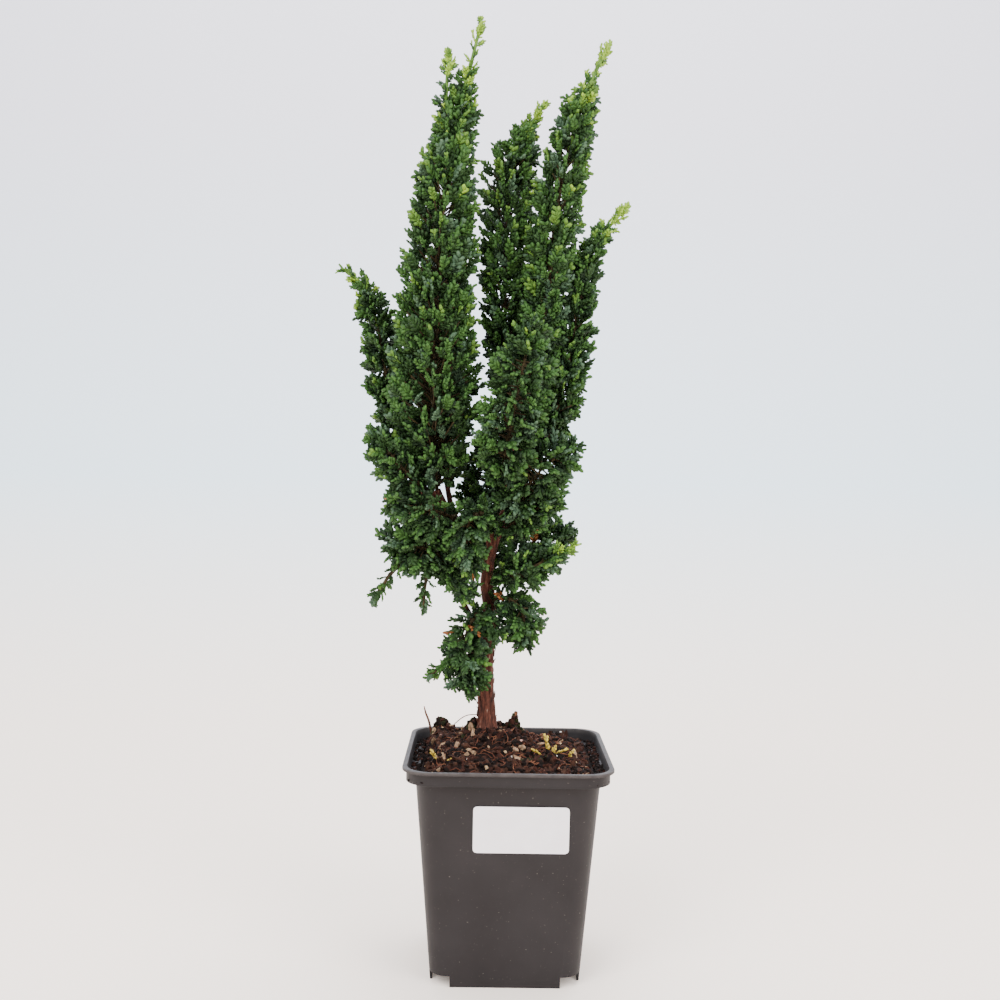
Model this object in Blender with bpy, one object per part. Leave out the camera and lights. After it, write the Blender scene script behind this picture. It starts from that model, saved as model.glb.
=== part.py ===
"""A young sekka hinoki cypress, grown as an upright bonsai, in its square nursery pot.

Tables are in millimetres and the scene is in metres, +Z up, +Y away from the viewer.
The origin is the centre of the pot's flat underside.
"""

import math
import random

import bmesh
import bpy
import numpy as np
from mathutils import Matrix, Vector

MM = 0.001
GAP = 0.3  # air between neighbouring solids

# Pot: a thin moulded shell, 11 cm square at the lip, that tapers to its foot
POT_HEIGHT = 116.2
LIP_HALF = 55.0
LIP_INNER_HALF = 52.5
LIP_THICK = 1.5
BAND_HALF = 53.0
BAND_BOTTOM = 108.7
BODY_TOP_HALF = 48.25
FOOT_HALF = 39.4
WALL = 1.2
CORNER = 10.5
FLOOR_UNDER = 7.0
FLOOR_THICK = 1.5
FOOT_TAB_HALF = 28.8
GATE_BOSS_RADIUS = 6.0
DRAIN_RADIUS = 4.5
DRAIN_OFFSET = 22.0
CORNER_STEPS = 4
ROUND_SIDES = 16
CUTTER_BLOCK = 30.0
WALL_SLOPE = (BODY_TOP_HALF - FOOT_HALF) / BAND_BOTTOM

# Label: a blank paper rectangle on the front wall
LABEL_SIZE = (49.4, 0.3, 24.6)
LABEL_CENTRE = (6.9, 85.3)
LABEL_CORNER = 2.0

# Potting mix: level at the walls, heaped up round the foot of the trunk
SOIL_EDGE = 108.3
SOIL_TOP = 125.0
SOIL_PLATEAU = 9.0
SOIL_MOUND = 1.15  # over 1 keeps the rise near the trunk
SOIL_RIPPLE = 1.1
SOIL_RINGS = 7
SOIL_LUMPS = [  # x, y, height, spread
    (-38, 36, 11, 8),
    (4, 15, 5, 6),
    (-18, 18, 3, 5),
    (34, 34, 5, 8),
    (-30, -6, -4, 9),
    (14, -16, -3, 8),
    (26, -20, 3, 7),
    (-26, -34, 3, 8),
]

# Trunk, from its flared foot on the soil to the fork: x, y, z, radius
TRUNK = [
    (-11.4, 10.0, SOIL_TOP + GAP, 6.4),
    (-11.4, 10.0, 127.4, 5.6),
    (-11.7, 10.0, 134.3, 5.0),
    (-12.3, 9.5, 147.0, 4.6),
    (-12.6, 9.0, 158.0, 4.4),
    (-12.1, 8.0, 172.2, 4.1),
    (-11.0, 7.0, 190.8, 3.8),
    (-12.6, 6.0, 205.9, 3.5),
    (-12.3, 5.5, 217.0, 3.4),
    (-10.0, 5.0, 228.2, 3.1),
    (-6.6, 4.0, 238.2, 2.8),
    (-2.9, 3.0, 247.7, 2.6),
]

# Boughs: what each leaves from, then x, y, z, radius from its foot to where it enters a mass
BOUGHS = {
    "lower_left_bough": ("trunk", [
        (-12.4, 8, 175, 1.9), (-18.9, 4, 184.4, 1.8), (-25.6, 0, 196.4, 1.6),
        (-30.1, -2, 205.3, 1.5), (-33.5, -4, 213.1, 1.4)]),
    "left_leader_bough": ("trunk", [
        (-8.1, 4.5, 233.2, 2.4), (-18.1, 3, 235.9, 2.4), (-28, 1, 239.1, 2.3),
        (-35.8, -1, 248.4, 2.2), (-40.8, -3, 258.2, 2.1)]),
    "right_leader_bough": ("trunk", [
        (-2.9, 3, 247.7, 2.5), (-0.9, 2, 259.9, 2.4), (1, 1.5, 272, 2.3), (3.3, 1, 285, 2.2)]),
    "centre_leader_bough": ("right_leader_bough", [
        (0.5, 1.5, 270, 1.7), (-2, 8, 284, 1.6), (-3.5, 13, 300, 1.5), (-3.5, 16, 315, 1.4)]),
    "outer_right_bough": ("right_leader_bough", [
        (-0.4, 2, 263.2, 1.6), (8, 5, 271, 1.5), (17, 8, 281, 1.4)]),
    "front_bough": ("right_leader_bough", [
        (-1.4, 2, 256.6, 1.6), (-3.3, -9, 261, 1.5), (-5.2, -19, 266, 1.4)]),
    "back_right_bough": ("right_leader_bough", [
        (-0.9, 2, 258.8, 1.7), (0.3, 12, 264, 1.6), (2.7, 22, 272, 1.5)]),
    "left_lower_bough": ("left_leader_bough", [
        (-22.5, 2, 237.5, 1.3), (-25.7, -5, 240, 1.2), (-28.5, -10, 242.5, 1.1)]),
    "left_flank_bough": ("left_leader_bough", [
        (-38.5, -2, 252.7, 1.5), (-42.1, -8, 256.1, 1.3), (-45, -10, 258, 1.2)]),
    "outer_left_bough": ("left_leader_bough", [
        (-33.5, 0, 244.6, 1.6), (-43.7, 5, 252.4, 1.5), (-53.9, 8, 260, 1.4)]),
    "back_left_bough": ("left_leader_bough", [
        (-29.7, 1, 240.7, 1.7), (-33.4, 10, 249.7, 1.6), (-36, 18, 260.6, 1.5)]),
}

# Masses of foliage. A path runs from where the stem meets its limb to the mass's tip, as
# x, y, z and reach, the distance that the sprays stand out to. Later paths are side shoots.
# rise is how far the sprays lean towards the tip, and droop how far they hang.
MASSES = {
    "left_leader": dict(sprays=41, rise=42, droop=0.0, paths=[
        [(-40.8, -3, 258.2, 15), (-43, -7, 285, 24), (-43, -9, 320, 24), (-42, -10, 362, 22),
         (-40, -9, 408, 19), (-33, -5, 460, 12), (-21, 0, 511, 2.5)],
        [(-37, -7, 440, 6), (-39, -7, 468, 6), (-38, -6, 491, 3)]]),
    "centre_leader": dict(sprays=21, rise=42, droop=0.0, paths=[
        [(-3.5, 16, 315, 9), (-5, 19, 350, 13), (-5, 20, 390, 15), (-4, 20, 428, 14.5),
         (3, 18, 456, 8), (14, 16, 472, 2)]]),
    "right_leader": dict(sprays=28, rise=42, droop=0.0, paths=[
        [(3.3, 1, 285, 10), (11, 0, 320, 12), (17, 1, 360, 12.5), (21, 3, 404, 14),
         (28, 5, 445, 12), (37, 6, 480, 6.5), (48.5, 8, 503, 2)]]),
    "outer_right": dict(sprays=19, rise=38, droop=0.0, paths=[
        [(17, 8, 281, 10), (26, 9, 310, 13), (33, 10, 345, 11), (38, 11, 375, 8.5),
         (45, 12, 397, 7.5), (60.5, 14, 416, 2)]]),
    "outer_left": dict(sprays=18, rise=35, droop=0.1, paths=[
        [(-53.9, 8, 260, 10), (-64, 9, 285, 13), (-70, 11, 318, 12), (-76, 13, 348, 10),
         (-84, 15, 370, 5.5), (-95, 16, 380, 2)]]),
    "front_shoot": dict(sprays=19, rise=20, droop=0.25, paths=[
        [(-5.2, -19, 266, 11), (-3, -31, 285, 17), (2, -36, 313, 16), (9, -34, 347, 5)]]),
    "left_flank": dict(sprays=12, rise=25, droop=0.15, paths=[
        [(-45, -10, 258, 10), (-55, -15, 266, 15), (-65, -15, 277, 13), (-76, -12, 290, 4)]]),
    "left_lower": dict(sprays=11, rise=30, droop=0.3, paths=[
        [(-28.5, -10, 242.5, 10), (-40, -18, 247, 15), (-52, -19, 249, 14),
         (-65, -18, 254, 6)]]),
    "left_side": dict(sprays=9, rise=30, droop=0.2, paths=[
        [(-38, 0, 250, 5), (-47, 14, 246, 12), (-57, 20, 249, 13), (-68, 22, 256, 5)]]),
    "right_flank": dict(sprays=16, rise=20, droop=0.35, paths=[
        [(-4, 3, 245, 6), (4, -13, 255, 14), (13, -19, 268, 18), (24, -19, 277, 15),
         (35, -16, 284, 6)]]),
    "right_lower": dict(sprays=12, rise=25, droop=0.3, paths=[
        [(-8, 4.5, 234.5, 5), (0, -7, 239, 11), (9, -13, 245, 15), (19, -15, 248, 13),
         (31, -13, 250, 5)]]),
    "right_side": dict(sprays=9, rise=30, droop=0.2, paths=[
        [(-3.5, 3.3, 246.3, 4), (10, 11, 247, 12), (22, 15, 253, 14), (35, 17, 262, 6)]]),
    "low_left": dict(sprays=16, rise=25, droop=0.3, paths=[
        [(-33.5, -4, 213.1, 8), (-40, -9, 224, 15), (-53, -12, 228, 16), (-68, -12, 226, 7)],
        [(-56, -12, 222, 6), (-66, -12, 211, 5), (-73, -12, 199, 3)],
        [(-43, -11, 220, 6), (-46, -12, 207, 4), (-46.5, -12, 195, 3)]]),
    "fork_tuft": dict(sprays=9, rise=20, droop=0.4, paths=[
        [(-6, 4, 240, 4), (-14, -14, 246, 11), (-22, -23, 243, 13), (-24, -24, 231, 12),
         (-20, -22, 220, 6)]]),
    "low_right": dict(sprays=9, rise=40, droop=0.1, paths=[
        [(-12.2, 5.4, 213, 3), (-4, -4, 212, 8), (6, -10, 215, 12), (18, -12, 222, 10),
         (32, -12, 226, 3)]]),
    "trunk_right": dict(sprays=11, rise=20, droop=0.3, paths=[
        [(-11.4, 7, 196, 3), (-2, -3, 200, 9), (7, -6, 193, 14), (10, -7, 180, 13),
         (9, -7, 169, 6)]]),
    "trunk_left": dict(sprays=12, rise=15, droop=0.3, paths=[
        [(-11.3, 7.3, 188, 3), (-20, -6, 188, 10), (-24, -10, 177, 14), (-22.5, -11, 163, 13),
         (-21, -11, 151, 5)],
        [(-28, -11, 168, 5), (-36, -12, 163, 4), (-42.5, -12, 158.5, 2.5)]]),
    "back_left": dict(sprays=19, rise=40, droop=0.0, paths=[
        [(-36, 18, 260.6, 11), (-41, 30, 285, 18), (-44, 36, 330, 19), (-43, 35, 365, 14),
         (-42, 32, 398, 4)]]),
    "back_right": dict(sprays=18, rise=40, droop=0.0, paths=[
        [(2.7, 22, 272, 11), (8, 34, 294, 18), (11, 41, 335, 18), (13, 40, 370, 12),
         (15, 36, 400, 4)]]),
    "back_low": dict(sprays=14, rise=20, droop=0.25, paths=[
        [(-10, 5, 228, 4), (-11, 26, 236, 13), (-13, 39, 250, 18), (-14, 44, 265, 17),
         (-15, 46, 284, 6)]]),
    "back_left_low": dict(sprays=11, rise=25, droop=0.3, paths=[
        [(-12.3, 5.5, 217, 3), (-24, 20, 222, 12), (-35, 31, 227, 15), (-46, 37, 231, 13),
         (-58, 41, 235, 5)]]),
    "back_right_low": dict(sprays=11, rise=25, droop=0.3, paths=[
        [(-12.4, 5.6, 212, 3), (0, 18, 217, 12), (11, 29, 224, 15), (22, 34, 229, 12),
         (33, 37, 234, 5)]]),
}
MASS_LIMBS = {
    "left_leader": "left_leader_bough",
    "centre_leader": "centre_leader_bough",
    "right_leader": "right_leader_bough",
    "outer_right": "outer_right_bough",
    "outer_left": "outer_left_bough",
    "front_shoot": "front_bough",
    "left_flank": "left_flank_bough",
    "left_lower": "left_lower_bough",
    "low_left": "lower_left_bough",
    "back_left": "back_left_bough",
    "back_right": "back_right_bough",
}

SPRAY_OUTLINE = [(0, 0), (0.74, -0.48), (0.75, -0.17), (1, 0), (0.75, 0.17), (0.74, 0.48)]
SPRAY_WIDTH = 0.75  # of its length
SPRAY_THICK = 0.09
SPRAY_SUNK = 0.45  # where the roots start, as a share of the reach
SPRAY_LENGTHS = (8.0, 25.0)
SPRAY_LEAN_SPREAD = 12.0
SPRAY_TIP_LEAN = 25.0  # sprays close in on the stem near its tip
SPRAY_ROLL = 0.9
SPRAY_SHRINKS = (1.0, 0.82, 0.66)  # tried in turn, until the spray keeps to its space
TIP_SPRAY = 8.0
TIP_SUNK = 5.0
TIP_ANGLES = (0.0, 1.4)
CORE_SHARES = (0.66, 0.92)  # hollows and tufts of a mass's dense inside, as shares of its reach
CORE_SPAN = (0.02, 0.93)
CORE_SIDES = 8
CORE_STEP = 9.0
CORE_TWIST = 0.21
SPACE_MARGIN = 0.5
CORE_MARGIN = 1.1
LIMB_MARGIN = 1.0
LIMB_NEAR = 4.0
STEM_RADII = (1.3, 0.7)
GOLDEN_ANGLE = math.radians(137.5)

COLOURS = {  # linear red, green, blue, then roughness
    "nursery_pot_plastic": ((0.070, 0.064, 0.068), 0.5),
    "label_paper": ((0.78, 0.74, 0.75), 0.6),
    "potting_mix": ((0.055, 0.026, 0.014), 0.95),
    "bark": ((0.165, 0.060, 0.033), 0.85),
    "foliage": ((0.050, 0.112, 0.030), 0.6),
}


def clear_scene():
    for obj in list(bpy.data.objects):
        bpy.data.objects.remove(obj, do_unlink=True)


def new_collection(name):
    group = bpy.data.collections.new(name)
    bpy.context.scene.collection.children.link(group)
    return group


def make_material(name):
    colour, roughness = COLOURS[name]
    material = bpy.data.materials.new(name)
    material.use_nodes = True
    shader = material.node_tree.nodes["Principled BSDF"]
    shader.inputs["Base Color"].default_value = (*colour, 1.0)
    shader.inputs["Roughness"].default_value = roughness
    shader.inputs["Metallic"].default_value = 0.0
    material.diffuse_color = (*colour, 1.0)
    return material


def add_object(name, mesh, group):
    obj = bpy.data.objects.new(name, mesh)
    group.objects.link(obj)
    return obj


def mesh_from(bm, name):
    mesh = bpy.data.meshes.new(name)
    bm.to_mesh(mesh)
    bm.free()
    return mesh


def finish(obj, material, sharp=40):
    obj.data.materials.clear()
    obj.data.materials.append(material)
    obj.data.shade_smooth()
    obj.data.set_sharp_from_angle(angle=math.radians(sharp))


def as_helper(obj):
    obj.hide_render = True
    obj.display_type = "WIRE"


def evaluated_mesh(obj):
    graph = bpy.context.evaluated_depsgraph_get()
    return bpy.data.meshes.new_from_object(obj.evaluated_get(graph))


def keep_largest_shell(mesh):
    """Drops loose scraps and fills sealed hollows: only the largest closed surface stays."""
    bm = bmesh.new()
    bm.from_mesh(mesh)
    left = set(bm.faces)
    shells = []
    while left:
        shell = {left.pop()}
        front = list(shell)
        while front:
            face = front.pop()
            near = {other for edge in face.edges for other in edge.link_faces} & left
            left -= near
            shell |= near
            front.extend(near)
        shells.append(shell)
    largest = max(shells, key=lambda shell: sum(face.calc_area() for face in shell))
    scraps = [face for shell in shells if shell is not largest for face in shell]
    bmesh.ops.delete(bm, geom=scraps, context="FACES")
    loose = [vert for vert in bm.verts if not vert.link_faces]
    bmesh.ops.delete(bm, geom=loose, context="VERTS")
    bmesh.ops.triangulate(bm, faces=bm.faces)
    bm.to_mesh(mesh)
    bm.free()


def boolean(obj, operation, other):
    """Joins or cuts with an object or a whole collection, and applies it."""
    change = obj.modifiers.new(operation.lower(), "BOOLEAN")
    change.operation = operation
    if isinstance(other, bpy.types.Collection):
        change.operand_type = "COLLECTION"
        change.collection = other
    else:
        change.object = other
    mesh = evaluated_mesh(obj)
    obj.modifiers.remove(change)
    obj.data = mesh
    keep_largest_shell(mesh)


# Rings and lofts
def rounded_square(half, corner, z):
    """One ring of a square with round corners, anticlockwise from above."""
    ring = []
    for quarter in range(4):
        middle = math.radians(45 + 90 * quarter)
        x = math.copysign(half - corner, math.cos(middle))
        y = math.copysign(half - corner, math.sin(middle))
        for step in range(CORNER_STEPS + 1):
            angle = math.radians(90 * (quarter + step / CORNER_STEPS))
            ring.append((x + corner * math.cos(angle), y + corner * math.sin(angle), z))
    return ring


def loft(name, rings):
    """A closed solid through rings of equal count, with a flat cap at each end."""
    bm = bmesh.new()
    rows = [[bm.verts.new(Vector(point) * MM) for point in ring] for ring in rings]
    for low, high in zip(rows, rows[1:]):
        for i, vert in enumerate(low):
            after = (i + 1) % len(low)
            bm.faces.new((vert, low[after], high[after], high[i]))
    bm.faces.new(rows[0])
    bm.faces.new(rows[-1])
    bmesh.ops.recalc_face_normals(bm, faces=bm.faces)
    return mesh_from(bm, name)


def wall_half(z):
    """Half the pot's outer width at a height on its tapering body."""
    return FOOT_HALF + WALL_SLOPE * z


# Pot
def add_cylinder(name, radius, low, high, x, y, group):
    bm = bmesh.new()
    place = Matrix.Translation(Vector((x, y, (low + high) / 2)) * MM)
    bmesh.ops.create_cone(bm, cap_ends=True, segments=ROUND_SIDES, radius1=radius * MM,
                          radius2=radius * MM, depth=(high - low) * MM, matrix=place)
    obj = add_object(name, mesh_from(bm, name), group)
    as_helper(obj)
    return obj


def add_corner_cutter(x, y, group):
    """A block that takes the foot skirt away at one corner."""
    bm = bmesh.new()
    size = CUTTER_BLOCK
    low, high = -2.0, FLOOR_UNDER - 1.0
    middle = (x * (FOOT_TAB_HALF + size / 2), y * (FOOT_TAB_HALF + size / 2), (low + high) / 2)
    place = Matrix.Translation(Vector(middle) * MM) @ Matrix.Diagonal(
        (size * MM, size * MM, (high - low) * MM, 1))
    bmesh.ops.create_cube(bm, size=1.0, matrix=place)
    obj = add_object(f"corner_cutter_{x:+d}{y:+d}", mesh_from(bm, "corner_cutter"), group)
    as_helper(obj)
    return obj


def make_pot(group, cutters, material):
    inner = CORNER - WALL
    profile = [  # half width, corner radius, height, round the wall from under the floor
        (wall_half(FLOOR_UNDER) - WALL, inner, FLOOR_UNDER),
        (FOOT_HALF - WALL, inner, 0),
        (FOOT_HALF, CORNER, 0),
        (BODY_TOP_HALF, CORNER, BAND_BOTTOM),
        (BAND_HALF, CORNER, BAND_BOTTOM),
        (BAND_HALF, CORNER, POT_HEIGHT - LIP_THICK),
        (LIP_HALF, CORNER + 0.5, POT_HEIGHT - LIP_THICK),
        (LIP_HALF, CORNER + 0.5, POT_HEIGHT),
        (LIP_INNER_HALF, CORNER - 1, POT_HEIGHT),
        (BAND_HALF - WALL, inner, BAND_BOTTOM + WALL),
        (BODY_TOP_HALF - WALL, inner, BAND_BOTTOM + WALL),
        (wall_half(FLOOR_UNDER + FLOOR_THICK) - WALL, inner, FLOOR_UNDER + FLOOR_THICK),
    ]
    rings = [rounded_square(*row) for row in profile]
    pot = add_object("pot", loft("pot", rings), group)
    boss = add_cylinder("gate_boss", GATE_BOSS_RADIUS, 0, FLOOR_UNDER + 0.5, 0, 0, cutters)
    boolean(pot, "UNION", boss)
    for x in (-1, 1):
        for y in (-1, 1):
            boolean(pot, "DIFFERENCE", add_corner_cutter(x, y, cutters))
            drain = add_cylinder(f"drain_cutter_{x:+d}{y:+d}", DRAIN_RADIUS, FLOOR_UNDER - 2,
                                 FLOOR_UNDER + FLOOR_THICK + 2, x * DRAIN_OFFSET,
                                 y * DRAIN_OFFSET, cutters)
            boolean(pot, "DIFFERENCE", drain)
    finish(pot, material, sharp=30)


def make_label(group, material):
    width, thick, height = LABEL_SIZE
    bm = bmesh.new()
    bmesh.ops.create_cube(bm, size=1.0, matrix=Matrix.Diagonal((width, thick, height, 1)))
    corners = [edge for edge in bm.edges
               if abs(edge.verts[0].co.y - edge.verts[1].co.y) > thick / 2]
    bmesh.ops.bevel(bm, geom=corners, offset=LABEL_CORNER, segments=3, profile=0.5,
                    affect="EDGES", material=-1)
    lean = math.atan(WALL_SLOPE)
    x, z = LABEL_CENTRE
    y = -wall_half(z) - (GAP + thick / 2) / math.cos(lean)
    place = Matrix.Translation((x, y, z)) @ Matrix.Rotation(lean, 4, "X")
    bmesh.ops.transform(bm, matrix=Matrix.Diagonal((MM, MM, MM, 1)) @ place, verts=bm.verts)
    label = add_object("label", mesh_from(bm, "label"), group)
    finish(label, material)


# Potting mix
def soil_height(x, y, share):
    """Height of the mix: share is 0 at the wall and 1 at the trunk."""
    mound = SOIL_EDGE + (SOIL_TOP - SOIL_EDGE) * share ** SOIL_MOUND
    ripple = math.sin(0.31 * x + 1.0) * math.cos(0.27 * y - 0.4) + 0.6 * math.sin(0.5 * x - 0.6 * y)
    lumps = sum(high * math.exp(-((x - at_x) ** 2 + (y - at_y) ** 2) / spread ** 2)
                for at_x, at_y, high, spread in SOIL_LUMPS)
    return mound + (SOIL_RIPPLE * ripple + lumps) * min(1, 5 * share) * min(1, 6 * (1 - share))


def make_soil(group, material):
    inset = WALL + GAP + 0.1
    corner = CORNER - inset
    low = FLOOR_UNDER + FLOOR_THICK + GAP
    wall = rounded_square(wall_half(SOIL_EDGE) - inset, corner, SOIL_EDGE)
    rings = [rounded_square(wall_half(low) - inset, corner, low), wall]
    foot_x, foot_y = TRUNK[0][:2]
    for step in range(1, SOIL_RINGS + 1):
        share = step / SOIL_RINGS
        ring = []
        for wall_x, wall_y, _ in wall:
            angle = math.atan2(wall_y - foot_y, wall_x - foot_x)
            x = wall_x + (foot_x + SOIL_PLATEAU * math.cos(angle) - wall_x) * share
            y = wall_y + (foot_y + SOIL_PLATEAU * math.sin(angle) - wall_y) * share
            ring.append((x, y, soil_height(x, y, share)))
        rings.append(ring)
    soil = add_object("potting_mix", loft("potting_mix", rings), group)
    finish(soil, material)


# Limbs
def smooth_path(stations, spans=4):
    """Points on a smooth curve through the stations, each with its radius as a fourth value."""
    rows = np.array(stations, float)
    rows = np.vstack([2 * rows[0] - rows[1], rows, 2 * rows[-1] - rows[-2]])
    points = []
    for a, b, c, d in zip(rows, rows[1:], rows[2:], rows[3:]):
        for step in range(spans):
            s = step / spans
            points.append(0.5 * (2 * b + (c - a) * s + (2 * a - 5 * b + 4 * c - d) * s ** 2
                                 + (3 * b - a - 3 * c + d) * s ** 3))
    points.append(rows[-2])
    path = np.array(points)
    path[:, 3] = path[:, 3].clip(0.4)
    return path


def limb_mesh(name, path, sides, swell=0.0, extend=0.0):
    """A tapering closed tube along the path. swell fattens it, extend lengthens both ends."""
    path = path.copy()
    path[:, 3] += swell
    for end, inner in ((0, 1), (-1, -2)):
        away = path[end, :3] - path[inner, :3]
        path[end, :3] += away / np.linalg.norm(away) * extend
    curve = bpy.data.curves.new(name, "CURVE")
    curve.dimensions = "3D"
    curve.bevel_depth = 1.0
    curve.bevel_resolution = sides // 2 - 2
    curve.use_fill_caps = True
    spline = curve.splines.new("POLY")
    spline.points.add(len(path) - 1)
    for point, (x, y, z, radius) in zip(spline.points, path * MM):
        point.co = (x, y, z, 1)
        point.radius = radius
    holder = bpy.data.objects.new(name, curve)
    bpy.context.scene.collection.objects.link(holder)
    mesh = evaluated_mesh(holder)
    bpy.data.objects.remove(holder, do_unlink=True)
    bm = bmesh.new()
    bm.from_mesh(mesh)
    bmesh.ops.remove_doubles(bm, verts=bm.verts, dist=0.001 * MM)
    bmesh.ops.recalc_face_normals(bm, faces=bm.faces)
    bm.to_mesh(mesh)
    bm.free()
    return mesh


def make_limbs(group, cutters, material):
    """The trunk and boughs. Returns each one's path, and a copy that is fatter by the gap."""
    paths = {"trunk": smooth_path(TRUNK, 1)}
    parents = {"trunk": None}
    sides = {"trunk": 12}
    for name, (parent, stations) in BOUGHS.items():
        paths[name] = smooth_path(stations, 2)
        parents[name] = parent
        sides[name] = 8 if stations[0][3] > 2 else 6
    sleeves = {}
    for name, path in paths.items():
        limb = add_object(name, limb_mesh(name, path, sides[name]), group)
        if parents[name]:
            boolean(limb, "DIFFERENCE", sleeves[parents[name]])
        finish(limb, material)
        sleeve = limb_mesh(name + "_sleeve", path, sides[name], swell=GAP, extend=GAP)
        sleeves[name] = add_object(name + "_sleeve", sleeve, cutters)
        as_helper(sleeves[name])
    return paths, sleeves


# Foliage
class Space:
    """The room that each mass keeps to, measured from all the masses' paths and the limbs."""

    def __init__(self, limb_paths):
        self.masses = {}
        for name, mass in MASSES.items():
            self.masses[name] = np.vstack([smooth_path(path, 6) for path in mass["paths"]])
        self.limbs = np.vstack([smooth_path(path, 3) for path in limb_paths.values()])

    @staticmethod
    def depth(points, path):
        """Distance from each point to the surface that the path's reach sweeps."""
        away = np.linalg.norm(points[:, None, :] - path[None, :, :3], axis=2)
        return (away - path[None, :, 3]).min(axis=1)

    def inside(self, name, points, margin=SPACE_MARGIN):
        own = self.depth(points, self.masses[name])
        others = [self.depth(points, path) for key, path in self.masses.items() if key != name]
        return own + margin <= np.min(others, axis=0)

    def clear_of_limbs(self, points):
        return self.depth(points, self.limbs) > LIMB_MARGIN


def across(tangents):
    """Two directions square to each tangent, chosen so that they turn little along the path."""
    mean = np.abs(tangents.mean(axis=0))
    guide = np.eye(3)[int(np.argmin(mean))]
    side = np.cross(tangents, guide)
    side /= np.linalg.norm(side, axis=1)[:, None]
    return side, np.cross(tangents, side)


class Stem:
    """A smooth path with its directions, read at any share of its length."""

    def __init__(self, stations):
        self.path = smooth_path(stations, 6)
        steps = np.gradient(self.path[:, :3], axis=0)
        self.tangents = steps / np.linalg.norm(steps, axis=1)[:, None]
        self.side, self.front = across(self.tangents)
        lengths = np.linalg.norm(np.diff(self.path[:, :3], axis=0), axis=1)
        self.at = np.append(0, np.cumsum(lengths)) / lengths.sum()
        self.length = lengths.sum()

    def read(self, values, share):
        return np.array([np.interp(share, self.at, column) for column in values.T])

    def point(self, share):
        return self.read(self.path[:, :3], share)

    def reach(self, share):
        return float(np.interp(share, self.at, self.path[:, 3]))

    def outward(self, share, angle):
        way = (self.read(self.side, share) * math.cos(angle)
               + self.read(self.front, share) * math.sin(angle))
        return way / np.linalg.norm(way)


def core_mesh(name, stem, space, chance):
    """The dense inside of a mass: a sphere drawn out along the stem and tufted all over.

    It is kept to the mass's own space, and the sprays stand out of it.
    """
    rows = int(np.clip(stem.length / CORE_STEP, 6, 40))
    bm = bmesh.new()
    bmesh.ops.create_uvsphere(bm, u_segments=CORE_SIDES, v_segments=rows, radius=1.0)
    low, high = CORE_SPAN
    for vert in bm.verts:
        turn = math.acos(max(-1, min(1, -vert.co.z)))
        row = round(rows * turn / math.pi)
        share = low + (high - low) * turn / math.pi
        centre = stem.point(share)
        fullness = min(1, 1.7 * math.sin(turn)) ** 0.6
        angle = math.atan2(vert.co.y, vert.co.x)
        column = round(CORE_SIDES * angle / math.tau)
        tuft = CORE_SHARES[(row + column) % 2]
        outward = stem.outward(share, angle + row * CORE_TWIST)
        wanted = stem.reach(share) * tuft * chance.uniform(0.9, 1.1) * fullness
        tries = [centre + outward * wanted * part for part in np.linspace(1, 0.1, 19)]
        fits = space.inside(name, np.array(tries), CORE_MARGIN)
        vert.co = Vector(tries[int(np.argmax(fits))] if fits.any() else tries[-1]) * MM
    bmesh.ops.recalc_face_normals(bm, faces=bm.faces)
    return mesh_from(bm, name)


def spray_points(root, way, flat, length):
    """The spray's toothed outline in space, on the plane of its two directions."""
    return [root + way * (length * along) + flat * (length * SPRAY_WIDTH * wide)
            for along, wide in SPRAY_OUTLINE]


def spray_mesh(name, outline, length):
    """A blade: its outline closed on both faces to a raised middle."""
    bm = bmesh.new()
    verts = [bm.verts.new(Vector(point) * MM) for point in outline]
    raised = length * SPRAY_THICK / 2 * MM
    for loop in (verts, verts[::-1]):
        face = bm.faces.new(loop)
        face.normal_update()
        bmesh.ops.poke(bm, faces=[face], offset=raised, center_mode="MEAN")
    bmesh.ops.recalc_face_normals(bm, faces=bm.faces)
    return mesh_from(bm, name)


def edge_samples(outline):
    corners = np.array(outline)
    after = np.roll(corners, -1, axis=0)
    return np.vstack([corners, (corners + after) / 2, (2 * corners + after) / 3])


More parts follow.
